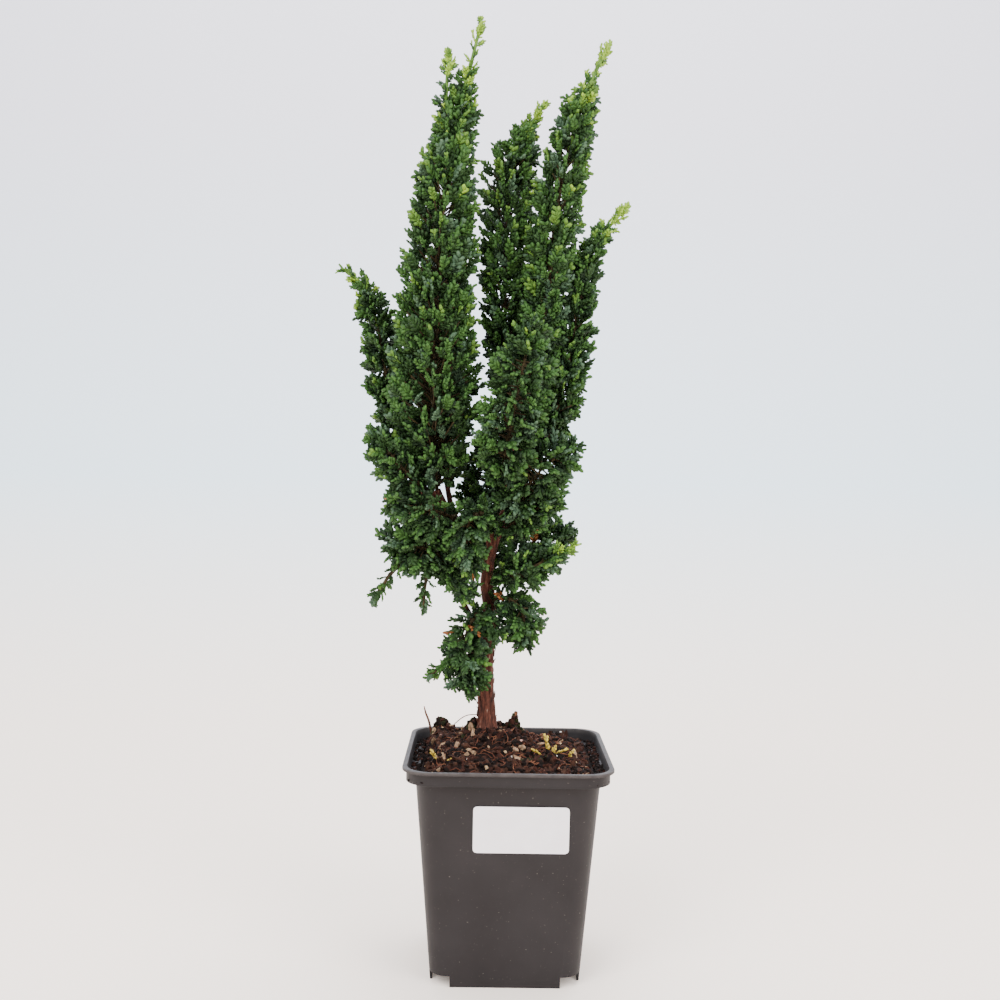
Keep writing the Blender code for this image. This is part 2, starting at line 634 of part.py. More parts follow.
def add_sprays(name, mass, stems, space, chance, group):
    """Sprays at even steps of length and turn, each skipped where it would leave its space."""
    sizes = [stem.length * (stem.path[:, 3].mean() + 3) for stem in stems]
    turn = chance.uniform(0, 6)
    for stem, size in zip(stems, sizes):
        count = max(4, round(mass["sprays"] * size / sum(sizes)))
        main = stem is stems[0]
        shares = np.linspace(0, 1, 60)
        weight = np.cumsum([stem.reach(share) + 2 for share in shares])
        weight = (weight - weight[0]) / (weight[-1] - weight[0])
        for i in range(count):
            share = float(np.interp((i + 0.5) / count, weight, shares))
            turn += GOLDEN_ANGLE + chance.uniform(-0.3, 0.3)
            outward = stem.outward(share, turn)
            tangent = stem.read(stem.tangents, share)
            lean = math.radians(mass["rise"] + SPRAY_TIP_LEAN * share ** 4
                                + chance.uniform(-SPRAY_LEAN_SPREAD, SPRAY_LEAN_SPREAD))
            way = outward * math.cos(lean) + tangent * math.sin(lean)
            way[2] -= mass["droop"] * chance.uniform(0.6, 1.4)
            way /= np.linalg.norm(way)
            in_core = main and share < CORE_SPAN[1] - 0.05
            reach = stem.reach(share)
            sunk = reach * SPRAY_SUNK if in_core else 0.0
            root = stem.point(share) + outward * sunk
            wanted = (reach * chance.uniform(0.98, 1.14) - sunk) / max(0.55, math.cos(lean))
            upright = tangent - way * tangent.dot(way)
            roll = chance.uniform(-SPRAY_ROLL, SPRAY_ROLL)
            flat = upright / np.linalg.norm(upright) * math.cos(roll)
            flat += np.cross(way, flat) * math.sin(roll)
            flat /= np.linalg.norm(flat)
            for shrink in SPRAY_SHRINKS:
                length = float(np.clip(wanted * shrink, *SPRAY_LENGTHS))
                outline = spray_points(root, way, flat, length)
                samples = edge_samples(outline)
                if space.inside(name, samples).all() and space.clear_of_limbs(samples).all():
                    add_object("spray", spray_mesh("spray", outline, length), group)
                    break
        for angle in TIP_ANGLES:
            root = stem.point(1.0) - stem.tangents[-1] * TIP_SUNK
            outline = spray_points(root, stem.tangents[-1], stem.outward(1.0, angle), TIP_SPRAY)
            add_object("spray", spray_mesh("spray", outline, TIP_SPRAY), group)


def make_mass(name, seed, space, limb_paths, sleeves, group, material):
    mass = MASSES[name]
    chance = random.Random(seed)
    stems = [Stem(path) for path in mass["paths"]]
    pieces = new_collection(name + "_pieces")
    for stem in stems:
        path = stem.path.copy()
        path[:, 3] = np.interp(stem.at, (0, 1), STEM_RADII)
        if stem is stems[0] and name in MASS_LIMBS:
            path[0, :3] += stem.tangents[0] * GAP
            limb_radius = limb_paths[MASS_LIMBS[name]][-1, 3]
            path[:, 3] = np.interp(stem.at, (0, 1), (limb_radius, STEM_RADII[1]))
        add_object("stem", limb_mesh("stem", path[::3], 4), pieces)
    add_sprays(name, mass, stems, space, chance, pieces)
    obj = add_object(name, core_mesh(name, stems[0], space, chance), group)
    boolean(obj, "UNION", pieces)
    for piece in list(pieces.objects):
        bpy.data.objects.remove(piece, do_unlink=True)
    bpy.data.collections.remove(pieces)
    own = space.masses[name]
    for limb, path in limb_paths.items():
        if (Space.depth(path[:, :3], own) < LIMB_NEAR).any():
            boolean(obj, "DIFFERENCE", sleeves[limb])
    finish(obj, material)


def main():
    clear_scene()
    group = new_collection("sekka_hinoki_cypress_bonsai")
    cutters = new_collection("cutters")
    materials = {name: make_material(name) for name in COLOURS}
    make_pot(group, cutters, materials["nursery_pot_plastic"])
    make_label(group, materials["label_paper"])
    make_soil(group, materials["potting_mix"])
    limb_paths, sleeves = make_limbs(group, cutters, materials["bark"])
    space = Space(limb_paths)
    for seed, name in enumerate(MASSES):
        make_mass(name, seed, space, limb_paths, sleeves, group, materials["foliage"])


main()
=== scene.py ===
# Sekka hinoki cypress bonsai in its nursery pot: the looks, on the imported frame.
# Tables are in millimetres, and everything in Blender is in metres.
import bpy
import bmesh
import math
import random
import numpy as np
from mathutils import Matrix, Vector, noise
from mathutils.bvhtree import BVHTree


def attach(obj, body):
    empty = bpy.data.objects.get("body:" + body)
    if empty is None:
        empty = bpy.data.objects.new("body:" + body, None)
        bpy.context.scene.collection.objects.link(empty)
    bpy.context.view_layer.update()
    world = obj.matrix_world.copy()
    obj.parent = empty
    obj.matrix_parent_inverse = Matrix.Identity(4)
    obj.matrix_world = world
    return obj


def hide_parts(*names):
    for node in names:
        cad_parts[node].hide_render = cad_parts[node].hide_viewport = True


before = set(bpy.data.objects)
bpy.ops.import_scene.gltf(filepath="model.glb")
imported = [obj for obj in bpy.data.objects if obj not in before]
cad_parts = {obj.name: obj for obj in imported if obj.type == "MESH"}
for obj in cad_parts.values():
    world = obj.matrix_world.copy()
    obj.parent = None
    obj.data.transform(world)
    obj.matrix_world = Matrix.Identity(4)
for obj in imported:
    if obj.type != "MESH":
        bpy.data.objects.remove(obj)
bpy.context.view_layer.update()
mm = 0.001
weld = 0.001 * mm  # points closer than this are one


# Small helpers
def linearHex(code):
    channels = [int(code[i:i + 2], 16) / 255 for i in (1, 3, 5)]
    return (*[c / 12.92 if c <= 0.04045 else ((c + 0.055) / 1.055) ** 2.4 for c in channels], 1.0)


def addNode(tree, kind, settings=None, inputs=None, links=None, stops=None):
    # links maps an input of the new node to (node, output); stops are a ramp's (position, hex colour)
    node = tree.nodes.new(kind)
    for key, value in (settings or {}).items():
        setattr(node, key, value)
    for key, value in (inputs or {}).items():
        node.inputs[key].default_value = value
    for key, (other, output) in (links or {}).items():
        tree.links.new(other.outputs[output], node.inputs[key])
    if stops:
        elements = node.color_ramp.elements
        while len(elements) < len(stops):
            elements.new(0.5)
        for element, (position, code) in zip(elements, stops):
            element.position = position
            element.color = linearHex(code)
    return node


def newMaterial(name, roughness, specular):
    material = bpy.data.materials.new(name)
    material.use_nodes = True
    tree = material.node_tree
    shader = tree.nodes["Principled BSDF"]
    shader.inputs["Roughness"].default_value = roughness
    shader.inputs["Specular IOR Level"].default_value = specular
    return material, tree, shader, addNode(tree, "ShaderNodeTexCoord")


def linkObject(name, data):
    obj = bpy.data.objects.new(name, data)
    bpy.context.scene.collection.objects.link(obj)
    return obj


def addPiece(name, mesh, materials, replaced=()):
    obj = linkObject(name, mesh)
    for material in materials:
        mesh.materials.append(material)
    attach(obj, "root")
    if replaced:
        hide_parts(*replaced)
    return obj


def meshFromBmesh(bm, name, sharp=None):
    mesh = bpy.data.meshes.new(name)
    bm.to_mesh(mesh)
    bm.free()
    if sharp is not None:
        mesh.shade_smooth()
        mesh.set_sharp_from_angle(angle=math.radians(sharp))
    return mesh


def joinParts(parts):
    # joins parts of (points, triangles, one value for each triangle)
    points, faces, values = zip(*parts)
    bases = np.cumsum([0] + [len(some) for some in points])
    triangles = np.vstack([some + base for some, base in zip(faces, bases)])
    return np.vstack(points), triangles, np.concatenate(values)


def meshFromParts(name, parts, flat=False):
    # the points are in mm, and the values are material indices
    points, triangles, kinds = joinParts(parts)
    points = points * mm
    mesh = bpy.data.meshes.new(name)
    mesh.vertices.add(len(points))
    mesh.vertices.foreach_set("co", points.ravel())
    mesh.loops.add(triangles.size)
    mesh.loops.foreach_set("vertex_index", triangles.ravel().astype(np.int32))
    mesh.polygons.add(len(triangles))
    mesh.polygons.foreach_set("loop_start", np.arange(0, triangles.size, 3, dtype=np.int32))
    mesh.polygons.foreach_set("material_index", kinds.astype(np.int32))
    mesh.update(calc_edges=True)
    mesh.validate()
    if flat:
        mesh.shade_flat()
    return mesh


def unit(vector):
    return vector / np.linalg.norm(vector)


def evaluatedMesh(obj):
    graph = bpy.context.evaluated_depsgraph_get()
    return bpy.data.meshes.new_from_object(obj.evaluated_get(graph))


# Camera and studio, from the photograph's own perspective
camera = {
    "place": (-14.219, -658.244, 272.686),
    "pitch": 0.0295412,  # down
    "yaw": 0.0120047,  # to the right
    "roll": 0.0173506,
    "lens": 43.3,
    "sensor": 36,
    "nearest": 0.01,  # metres
}


def makeCamera():
    data = bpy.data.cameras.new("camera")
    data.lens = camera["lens"]
    data.sensor_width = camera["sensor"]
    data.clip_start = camera["nearest"]
    obj = linkObject("camera", data)
    turned = Matrix.Rotation(-camera["yaw"], 4, "Z")
    turned @= Matrix.Rotation(math.pi / 2 - camera["pitch"], 4, "X")
    turned @= Matrix.Rotation(camera["roll"], 4, "Z")
    obj.matrix_world = Matrix.Translation(Vector(camera["place"]) * mm) @ turned
    bpy.context.scene.camera = obj


studio = {
    "floorHalf": 3.0,  # metres, as are all sizes here
    "floorBehind": 1.2,
    "backdropHeight": 2.6,
    "sweepRadius": 0.7,
    "sweepSteps": 16,
    "backdrop": [(0.0, "#fff1e5"), (0.25, "#dcedf8"), (0.8, "#e2e3ee")],  # height and colour
    "paperGlow": 0.22,  # painted light: the backdrop paper glows, as if it were lit from behind as well
    "skyColour": "#eef1f5",
    "skyStrength": 1.45,
    "lights": [  # place, size and power, all aimed at the middle of the plant
        ((-0.9, -1.3, 1.5), 1.2, 46),
        ((1.1, -1.1, 1.1), 1.2, 27),
        ((0.1, 0.5, 1.9), 1.3, 36),
    ],
    "aim": (0, 0, 0.25),
}


def makeStudio():
    world = bpy.data.worlds.new("studio")
    bpy.context.scene.world = world
    world.use_nodes = True
    background = world.node_tree.nodes["Background"]
    background.inputs["Color"].default_value = linearHex(studio["skyColour"])
    background.inputs["Strength"].default_value = studio["skyStrength"]
    bm = bmesh.new()
    bmesh.ops.create_grid(bm, x_segments=1, y_segments=1, size=studio["floorHalf"])
    farVerts = [vert for vert in bm.verts if vert.co.y > 0]
    far = [edge for edge in bm.edges if all(vert.co.y > 0 for vert in edge.verts)]
    bmesh.ops.translate(bm, verts=farVerts, vec=(0, studio["floorBehind"] - studio["floorHalf"], 0))
    raised = bmesh.ops.extrude_edge_only(bm, edges=far)["geom"]
    corners = [item for item in raised if isinstance(item, bmesh.types.BMVert)]
    bmesh.ops.translate(bm, verts=corners, vec=(0, 0, studio["backdropHeight"]))
    fold = [edge for edge in bm.edges if len(edge.link_faces) == 2]
    bmesh.ops.bevel(bm, geom=fold, offset=studio["sweepRadius"], segments=studio["sweepSteps"],
                    profile=0.5, affect="EDGES", material=-1)
    floor = linkObject("floor", meshFromBmesh(bm, "floor", sharp=60))
    # matt background paper, in a sweep with no corner: its tone changes slowly up the backdrop, and it
    # glows a little in its own colour, which is painted light
    material, tree, shader, place = newMaterial("pale studio paper", 0.9, 0.2)
    split = addNode(tree, "ShaderNodeSeparateXYZ", links={"Vector": (place, "Object")})
    shade = addNode(tree, "ShaderNodeValToRGB", links={"Fac": (split, "Z")}, stops=studio["backdrop"])
    tree.links.new(shade.outputs["Color"], shader.inputs["Base Color"])
    # painted light: the paper glows in its own colour, so it is brighter than the lamps make it
    tree.links.new(shade.outputs["Color"], shader.inputs["Emission Color"])
    shader.inputs["Emission Strength"].default_value = studio["paperGlow"]
    floor.data.materials.append(material)
    for place, size, power in studio["lights"]:
        data = bpy.data.lights.new("softbox", "AREA")
        data.shape = "DISK"
        data.size = size
        data.energy = power
        light = linkObject("softbox", data)
        light.location = place
        towards = Vector(studio["aim"]) - Vector(place)
        light.rotation_euler = towards.to_track_quat("-Z", "Y").to_euler()


# Materials
def mottledMaterial(name, stops, grain, roughness, specular, bump=0.0, bumpGrain=1.0):
    # noise at a real grain size in mm runs through the colour stops, and a finer one lifts the surface
    material, tree, shader, place = newMaterial(name, roughness, specular)
    mottle = addNode(tree, "ShaderNodeTexNoise",
                     inputs={"Scale": 1 / (grain * mm), "Detail": 5.0, "Roughness": 0.6},
                     links={"Vector": (place, "Object")})
    ramp = addNode(tree, "ShaderNodeValToRGB", links={"Fac": (mottle, "Fac")}, stops=stops)
    tree.links.new(ramp.outputs["Color"], shader.inputs["Base Color"])
    if bump:
        fine = addNode(tree, "ShaderNodeTexNoise", inputs={"Scale": 1 / (bumpGrain * mm), "Detail": 4.0},
                       links={"Vector": (place, "Object")})
        lift = addNode(tree, "ShaderNodeBump", inputs={"Strength": bump, "Distance": 0.4 * mm},
                       links={"Height": (fine, "Fac")})
        tree.links.new(lift.outputs["Normal"], shader.inputs["Normal"])
    return material


def leafMaterial(name, *colours):
    # scale leaves: waxy and close to matt, mottled in three tones, with fine bumps that catch the light
    return mottledMaterial(name, list(zip((0.32, 0.5, 0.68), colours)), 2.6, 0.6, 0.2, 0.3, 0.9)


def potMaterial():
    # injection-moulded polypropylene: dark, even and half matt, dusty, with a scuffed and paler rim
    material, tree, shader, place = newMaterial("nursery pot polypropylene", 0.5, 0.13)
    here = {"Vector": (place, "Object")}
    cloud, speck, scuff, tooled = (
        addNode(tree, "ShaderNodeTexNoise", links=here,
                inputs={"Scale": 1 / (grain * mm), "Detail": detail})
        for grain, detail in ((38, 4), (1.1, 3), (5, 6), (0.7, 2)))
    body = addNode(tree, "ShaderNodeValToRGB", links={"Fac": (cloud, "Fac")},
                   stops=[(0.3, "#221f20"), (0.7, "#292627")])
    dust = addNode(tree, "ShaderNodeValToRGB", links={"Fac": (speck, "Fac")},
                   stops=[(0.69, "#000000"), (0.78, "#ffffff")])
    dusty = addNode(tree, "ShaderNodeMix", {"data_type": "RGBA"}, {"B": linearHex("#5f5852")},
                    {"Factor": (dust, "Color"), "A": (body, "Color")})
    split = addNode(tree, "ShaderNodeSeparateXYZ", links=here)
    rimBand = addNode(tree, "ShaderNodeMapRange",
                      inputs={"From Min": (pot["height"] - pot["wornEdge"]) * mm,
                              "From Max": pot["height"] * mm, "To Max": 0.55},
                      links={"Value": (split, "Z")})
    rubbed = addNode(tree, "ShaderNodeMath", {"operation": "MULTIPLY"},
                     links={0: (rimBand, "Result"), 1: (scuff, "Fac")})
    worn = addNode(tree, "ShaderNodeMix", {"data_type": "RGBA"}, {"B": linearHex("#726a67")},
                   {"Factor": (rubbed, "Value"), "A": (dusty, "Result")})
    tree.links.new(worn.outputs["Result"], shader.inputs["Base Color"])
    lift = addNode(tree, "ShaderNodeBump", inputs={"Strength": 0.12, "Distance": 0.1 * mm},
                   links={"Height": (tooled, "Fac")})
    tree.links.new(lift.outputs["Normal"], shader.inputs["Normal"])
    return material


def barkMaterial():
    # thin reddish bark that peels in upright strips, with pale flecks where it has lifted
    material, tree, shader, place = newMaterial("peeling cypress bark", 0.85, 0.2)
    mapping = addNode(tree, "ShaderNodeMapping", inputs={"Scale": (1, 1, 0.22)},
                      links={"Vector": (place, "Object")})
    strips = addNode(tree, "ShaderNodeTexNoise",
                     inputs={"Scale": 1 / (1.7 * mm), "Detail": 5.0, "Roughness": 0.65},
                     links={"Vector": (mapping, "Vector")})
    ramp = addNode(tree, "ShaderNodeValToRGB", links={"Fac": (strips, "Fac")},
                   stops=[(0.3, "#211310"), (0.45, "#43261e"), (0.6, "#663b2e"), (0.74, "#a08a7a")])
    tree.links.new(ramp.outputs["Color"], shader.inputs["Base Color"])
    lift = addNode(tree, "ShaderNodeBump", inputs={"Strength": 0.8, "Distance": 0.5 * mm},
                   links={"Height": (strips, "Fac")})
    tree.links.new(lift.outputs["Normal"], shader.inputs["Normal"])
    return material


# Pot: one skin drawn round its profile, then the foot corners and drain holes cut away
pot = {
    "corner": 10.5,
    "cornerSteps": 8,
    "wall": 1.2,
    "footHalf": 39.4,
    "bodyTopHalf": 48.25,
    "bandBottom": 108.7,
    "bandHalf": 53.0,
    "lipHalf": 55.0,
    "lipInner": 52.5,
    "height": 116.2,
    "lipThick": 1.5,
    "floorUnder": 7.0,
    "floorThick": 1.5,
    "tabHalf": 28.8,
    "tabCut": (30.0, 8.0, 2.0),  # the cut-away corner's width and height, and the height of its middle
    "sharpFrom": 35,  # degrees
    "edgeRound": 0.3,
    "drain": (22.0, 4.5, 5.0),  # offset, radius and depth
    "boss": (6.0, 0.5),  # radius, and how far it stands into the floor
    "wornEdge": 2.6,  # the lip is scuffed from here up
}


def potHalf(z):
    return pot["footHalf"] + (pot["bodyTopHalf"] - pot["footHalf"]) * z / pot["bandBottom"]


def cutWith(obj, cutter):
    change = obj.modifiers.new("cut", "BOOLEAN")
    change.operation = "DIFFERENCE"
    change.object = cutter
    mesh = evaluatedMesh(obj)
    obj.modifiers.clear()
    obj.data = mesh
    bpy.data.objects.remove(cutter, do_unlink=True)


def potShell():
    wall, under, thick = pot["wall"], pot["floorUnder"], pot["floorThick"]
    lipUnder = pot["height"] - pot["lipThick"]
    ledge = pot["bandBottom"] + wall
    profile = [  # half width and height, from under the floor, round the wall, to the floor's top
        (potHalf(under) - wall, under), (pot["footHalf"] - wall, 0), (pot["footHalf"], 0),
        (pot["bodyTopHalf"], pot["bandBottom"]), (pot["bandHalf"], pot["bandBottom"]),
        (pot["bandHalf"], lipUnder), (pot["lipHalf"], lipUnder), (pot["lipHalf"], pot["height"]),
        (pot["lipInner"], pot["height"]), (pot["bandHalf"] - wall, ledge),
        (pot["bodyTopHalf"] - wall, ledge), (potHalf(under + thick) - wall, under + thick)]
    bm = bmesh.new()
    half, z = profile[0]
    bmesh.ops.create_grid(bm, x_segments=1, y_segments=1, size=half * mm)
    bmesh.ops.translate(bm, verts=bm.verts, vec=(0, 0, z * mm))
    bmesh.ops.bevel(bm, geom=list(bm.verts), offset=pot["corner"] * mm, segments=pot["cornerSteps"],
                    profile=0.5, affect="VERTICES", material=-1)
    start = bmesh.ops.duplicate(bm, geom=bm.faces[:])["geom"]
    cap = [item for item in start if isinstance(item, bmesh.types.BMFace)]
    for newHalf, newZ in profile[1:]:
        made = bmesh.ops.extrude_face_region(bm, geom=cap)["geom"]
        bmesh.ops.delete(bm, geom=cap, context="FACES")
        cap = [item for item in made if isinstance(item, bmesh.types.BMFace)]
        verts = [item for item in made if isinstance(item, bmesh.types.BMVert)]
        grow = newHalf / half
        bmesh.ops.scale(bm, verts=verts, vec=(grow, grow, 1))
        bmesh.ops.translate(bm, verts=verts, vec=(0, 0, (newZ - z) * mm))
        half, z = newHalf, newZ
    bmesh.ops.remove_doubles(bm, verts=bm.verts, dist=weld)
    bmesh.ops.recalc_face_normals(bm, faces=bm.faces)
    sharp = [edge for edge in bm.edges
             if len(edge.link_faces) == 2 and edge.calc_face_angle() > math.radians(pot["sharpFrom"])]
    bmesh.ops.bevel(bm, geom=sharp, offset=pot["edgeRound"] * mm, segments=2, profile=0.5,
                    affect="EDGES", material=-1)
    return linkObject("pot_shell", meshFromBmesh(bm, "pot_shell"))


def potCutter():
    # a block at each corner of the foot, and a plug for each drain hole
    bm = bmesh.new()
    offset, radius, depth = pot["drain"]
    width, height, middle = pot["tabCut"]
    size = Matrix.Diagonal((width * mm, width * mm, height * mm, 1))
    corner = pot["tabHalf"] + width / 2
    level = pot["floorUnder"] + pot["floorThick"] / 2
    for x in (-1, 1):
        for y in (-1, 1):
            block = Matrix.Translation(Vector((x * corner, y * corner, middle)) * mm) @ size
            bmesh.ops.create_cube(bm, size=1, matrix=block)
            hole = Matrix.Translation(Vector((x * offset, y * offset, level)) * mm)
            bmesh.ops.create_cone(bm, cap_ends=True, segments=24, radius1=radius * mm,
                                  radius2=radius * mm, depth=depth * mm, matrix=hole)
    return linkObject("cutter", meshFromBmesh(bm, "cutter"))


def makePot(material):
    shell = potShell()
    cutWith(shell, potCutter())
    bm = bmesh.new()
    bm.from_mesh(shell.data)
    bpy.data.objects.remove(shell, do_unlink=True)
    radius, overlap = pot["boss"]
    depth = pot["floorUnder"] + overlap
    bmesh.ops.create_cone(bm, cap_ends=True, segments=32, radius1=radius * mm, radius2=radius * mm,
                          depth=depth * mm, matrix=Matrix.Translation((0, 0, depth / 2 * mm)))
    mesh = meshFromBmesh(bm, "nursery_pot", sharp=pot["sharpFrom"])
    addPiece("nursery_pot", mesh, [material], ["pot"])


# Limbs: tubes along smooth paths
limbs = {
    "trunk": [(-11.4, 10.0, 125.3, 6.4), (-11.4, 10.0, 127.4, 5.6), (-11.7, 10.0, 134.3, 5.0),
              (-12.3, 9.5, 147.0, 4.6), (-12.6, 9.0, 158.0, 4.4), (-12.1, 8.0, 172.2, 4.1),
              (-11.0, 7.0, 190.8, 3.8), (-12.6, 6.0, 205.9, 3.5), (-12.3, 5.5, 217.0, 3.4),
              (-10.0, 5.0, 228.2, 3.1), (-6.6, 4.0, 238.2, 2.8), (-2.9, 3.0, 247.7, 2.6)],
    "lower_left_bough": [(-12.4, 8, 175, 1.9), (-18.9, 4, 184.4, 1.8), (-25.6, 0, 196.4, 1.6),
                         (-30.1, -2, 205.3, 1.5), (-33.5, -4, 213.1, 1.4)],
    "left_leader_bough": [(-8.1, 4.5, 233.2, 2.4), (-18.1, 3, 235.9, 2.4), (-28, 1, 239.1, 2.3),
                          (-35.8, -1, 248.4, 2.2), (-40.8, -3, 258.2, 2.1)],
    "right_leader_bough": [(-2.9, 3, 247.7, 2.5), (-0.9, 2, 259.9, 2.4), (1, 1.5, 272, 2.3),
                           (3.3, 1, 285, 2.2)],
    "centre_leader_bough": [(0.5, 1.5, 270, 1.7), (-2, 8, 284, 1.6), (-3.5, 13, 300, 1.5),
                            (-3.5, 16, 315, 1.4)],
    "outer_right_bough": [(-0.4, 2, 263.2, 1.6), (8, 5, 271, 1.5), (17, 8, 281, 1.4)],
    "front_bough": [(-1.4, 2, 256.6, 1.6), (-3.3, -9, 261, 1.5), (-5.2, -19, 266, 1.4)],
    "back_right_bough": [(-0.9, 2, 258.8, 1.7), (0.3, 12, 264, 1.6), (2.7, 22, 272, 1.5)],
    "left_lower_bough": [(-22.5, 2, 237.5, 1.3), (-25.7, -5, 240, 1.2), (-28.5, -10, 242.5, 1.1)],
    "left_flank_bough": [(-38.5, -2, 252.7, 1.5), (-42.1, -8, 256.1, 1.3), (-45, -10, 258, 1.2)],
    "outer_left_bough": [(-33.5, 0, 244.6, 1.6), (-43.7, 5, 252.4, 1.5), (-53.9, 8, 260, 1.4)],
    "back_left_bough": [(-29.7, 1, 240.7, 1.7), (-33.4, 10, 249.7, 1.6), (-36, 18, 260.6, 1.5)],
}
bark = {
    "trunkSides": 40,
    "boughSides": 20,
    "stepMm": 0.9,
    "ridgeWidth": 1.6,  # mm
    "ridgeStretch": 0.18,  # how fast the ridges change up the limb, against across it
    "ridgeMiddle": 0.25,  # the noise that leaves the surface where it is
    "ridge": 0.17,  # ridges and knobs as a share of the limb's radius
    "knobWidth": 7.0,
    "knob": 0.11,
    "capShare": 0.3,  # the middle of a cut end stays as it is
    "flakes": 130,
    "flakeSpan": (0.02, 0.98),  # share of the trunk's height
    "flakeLength": (1.5, 4.5),
    "flakeLift": (0.15, 0.2, 0.9),  # of its middle, and the least and most of its tip
    "flakeSlant": 0.5,
    "flakeRadii": (0.35, 0.4, 0.15),
}


def smoothPath(stations, spans):
    # Catmull-Rom through the stations, with the radius as a fourth value
    rows = np.array(stations, float)
    rows = np.vstack([2 * rows[0] - rows[1], rows, 2 * rows[-1] - rows[-2]])
    points = []
    for a, b, c, d in zip(rows, rows[1:], rows[2:], rows[3:]):
        for step in range(spans):
            s = step / spans
            points.append(0.5 * (2 * b + (c - a) * s + (2 * a - 5 * b + 4 * c - d) * s ** 2
                                 + (3 * b - a - 3 * c + d) * s ** 3))
    points.append(rows[-2])
    path = np.array(points)
    path[:, 3] = path[:, 3].clip(0.3)
    return path


def evenPath(stations, stepMm):
    path = smoothPath(stations, spans=12)
    along = np.append(0, np.cumsum(np.linalg.norm(np.diff(path[:, :3], axis=0), axis=1)))
    count = max(3, int(along[-1] / stepMm) + 1)
    at = np.linspace(0, along[-1], count)
    return np.stack([np.interp(at, along, column) for column in path.T], axis=1)


def tubesMesh(name, paths, sides):
    # one curve with a spline for each path, bevelled and capped, as one closed mesh
    curve = bpy.data.curves.new(name, "CURVE")
    curve.dimensions = "3D"
    curve.bevel_depth = 1.0  # so that each point's radius is the tube's
    curve.bevel_resolution = sides // 2 - 2
    curve.use_fill_caps = True
    for path in paths:
        spline = curve.splines.new("POLY")
        spline.points.add(len(path) - 1)
        for point, (x, y, z, radius) in zip(spline.points, path * mm):
            point.co = (x, y, z, 1)
            point.radius = radius
    holder = linkObject(name, curve)
    mesh = evaluatedMesh(holder)
    bpy.data.objects.remove(holder, do_unlink=True)
    bm = bmesh.new()
    bm.from_mesh(mesh)
    bmesh.ops.remove_doubles(bm, verts=bm.verts, dist=weld)
    bmesh.ops.recalc_face_normals(bm, faces=bm.faces)
    bm.to_mesh(mesh)
    bm.free()
    mesh.shade_smooth()
    return mesh


def roughenLimb(mesh, path):
    # upright ridges and slow knobs of the bark, as a share of the limb's own radius
    centres = path[:, :3] * mm
    for vert in mesh.vertices:
        nearest = int(np.argmin(np.linalg.norm(centres - np.array(vert.co), axis=1)))
        away = vert.co - Vector(centres[nearest])
        if away.length < bark["capShare"] * path[nearest, 3] * mm:
            continue
        x, y, z = vert.co
        ridge = abs(noise.noise(Vector((x, y, z * bark["ridgeStretch"])) / (bark["ridgeWidth"] * mm)))
        knob = noise.noise(vert.co / (bark["knobWidth"] * mm))
        vert.co += away * (bark["ridge"] * (ridge - bark["ridgeMiddle"]) + bark["knob"] * knob)


def barkFlakes(trunkPath):
    # thin strips of bark that have lifted off the trunk
    chance = random.Random(5)
    middleLift, leastLift, mostLift = bark["flakeLift"]
    flakes = []
    for i in range(bark["flakes"]):
        row = trunkPath[int(chance.uniform(*bark["flakeSpan"]) * (len(trunkPath) - 1))]
        angle = chance.uniform(0, math.tau)
        out = np.array([math.cos(angle), math.sin(angle), 0])
        foot = row[:3] + out * row[3]
        size = chance.uniform(*bark["flakeLength"])
        lift = chance.uniform(leastLift, mostLift)
        middle = foot + np.array([0, 0, size / 2]) + out * middleLift
        slant = chance.uniform(-bark["flakeSlant"], bark["flakeSlant"])
        tip = foot + np.array([slant, 0, size]) + out * lift
        flakes.append(np.column_stack([[foot, middle, tip], bark["flakeRadii"]]))
    return flakes


def makeLimbs(material):
    for name, stations in limbs.items():
        path = evenPath(stations, bark["stepMm"])
        sides = bark["trunkSides"] if name == "trunk" else bark["boughSides"]
        limb = tubesMesh(name + "_bark", [path], sides)
        roughenLimb(limb, path)
        addPiece(name + "_bark", limb, [material], [name])
    flakes = barkFlakes(evenPath(limbs["trunk"], bark["stepMm"]))
    addPiece("bark_flakes", tubesMesh("bark_flakes", flakes, sides=4), [material])


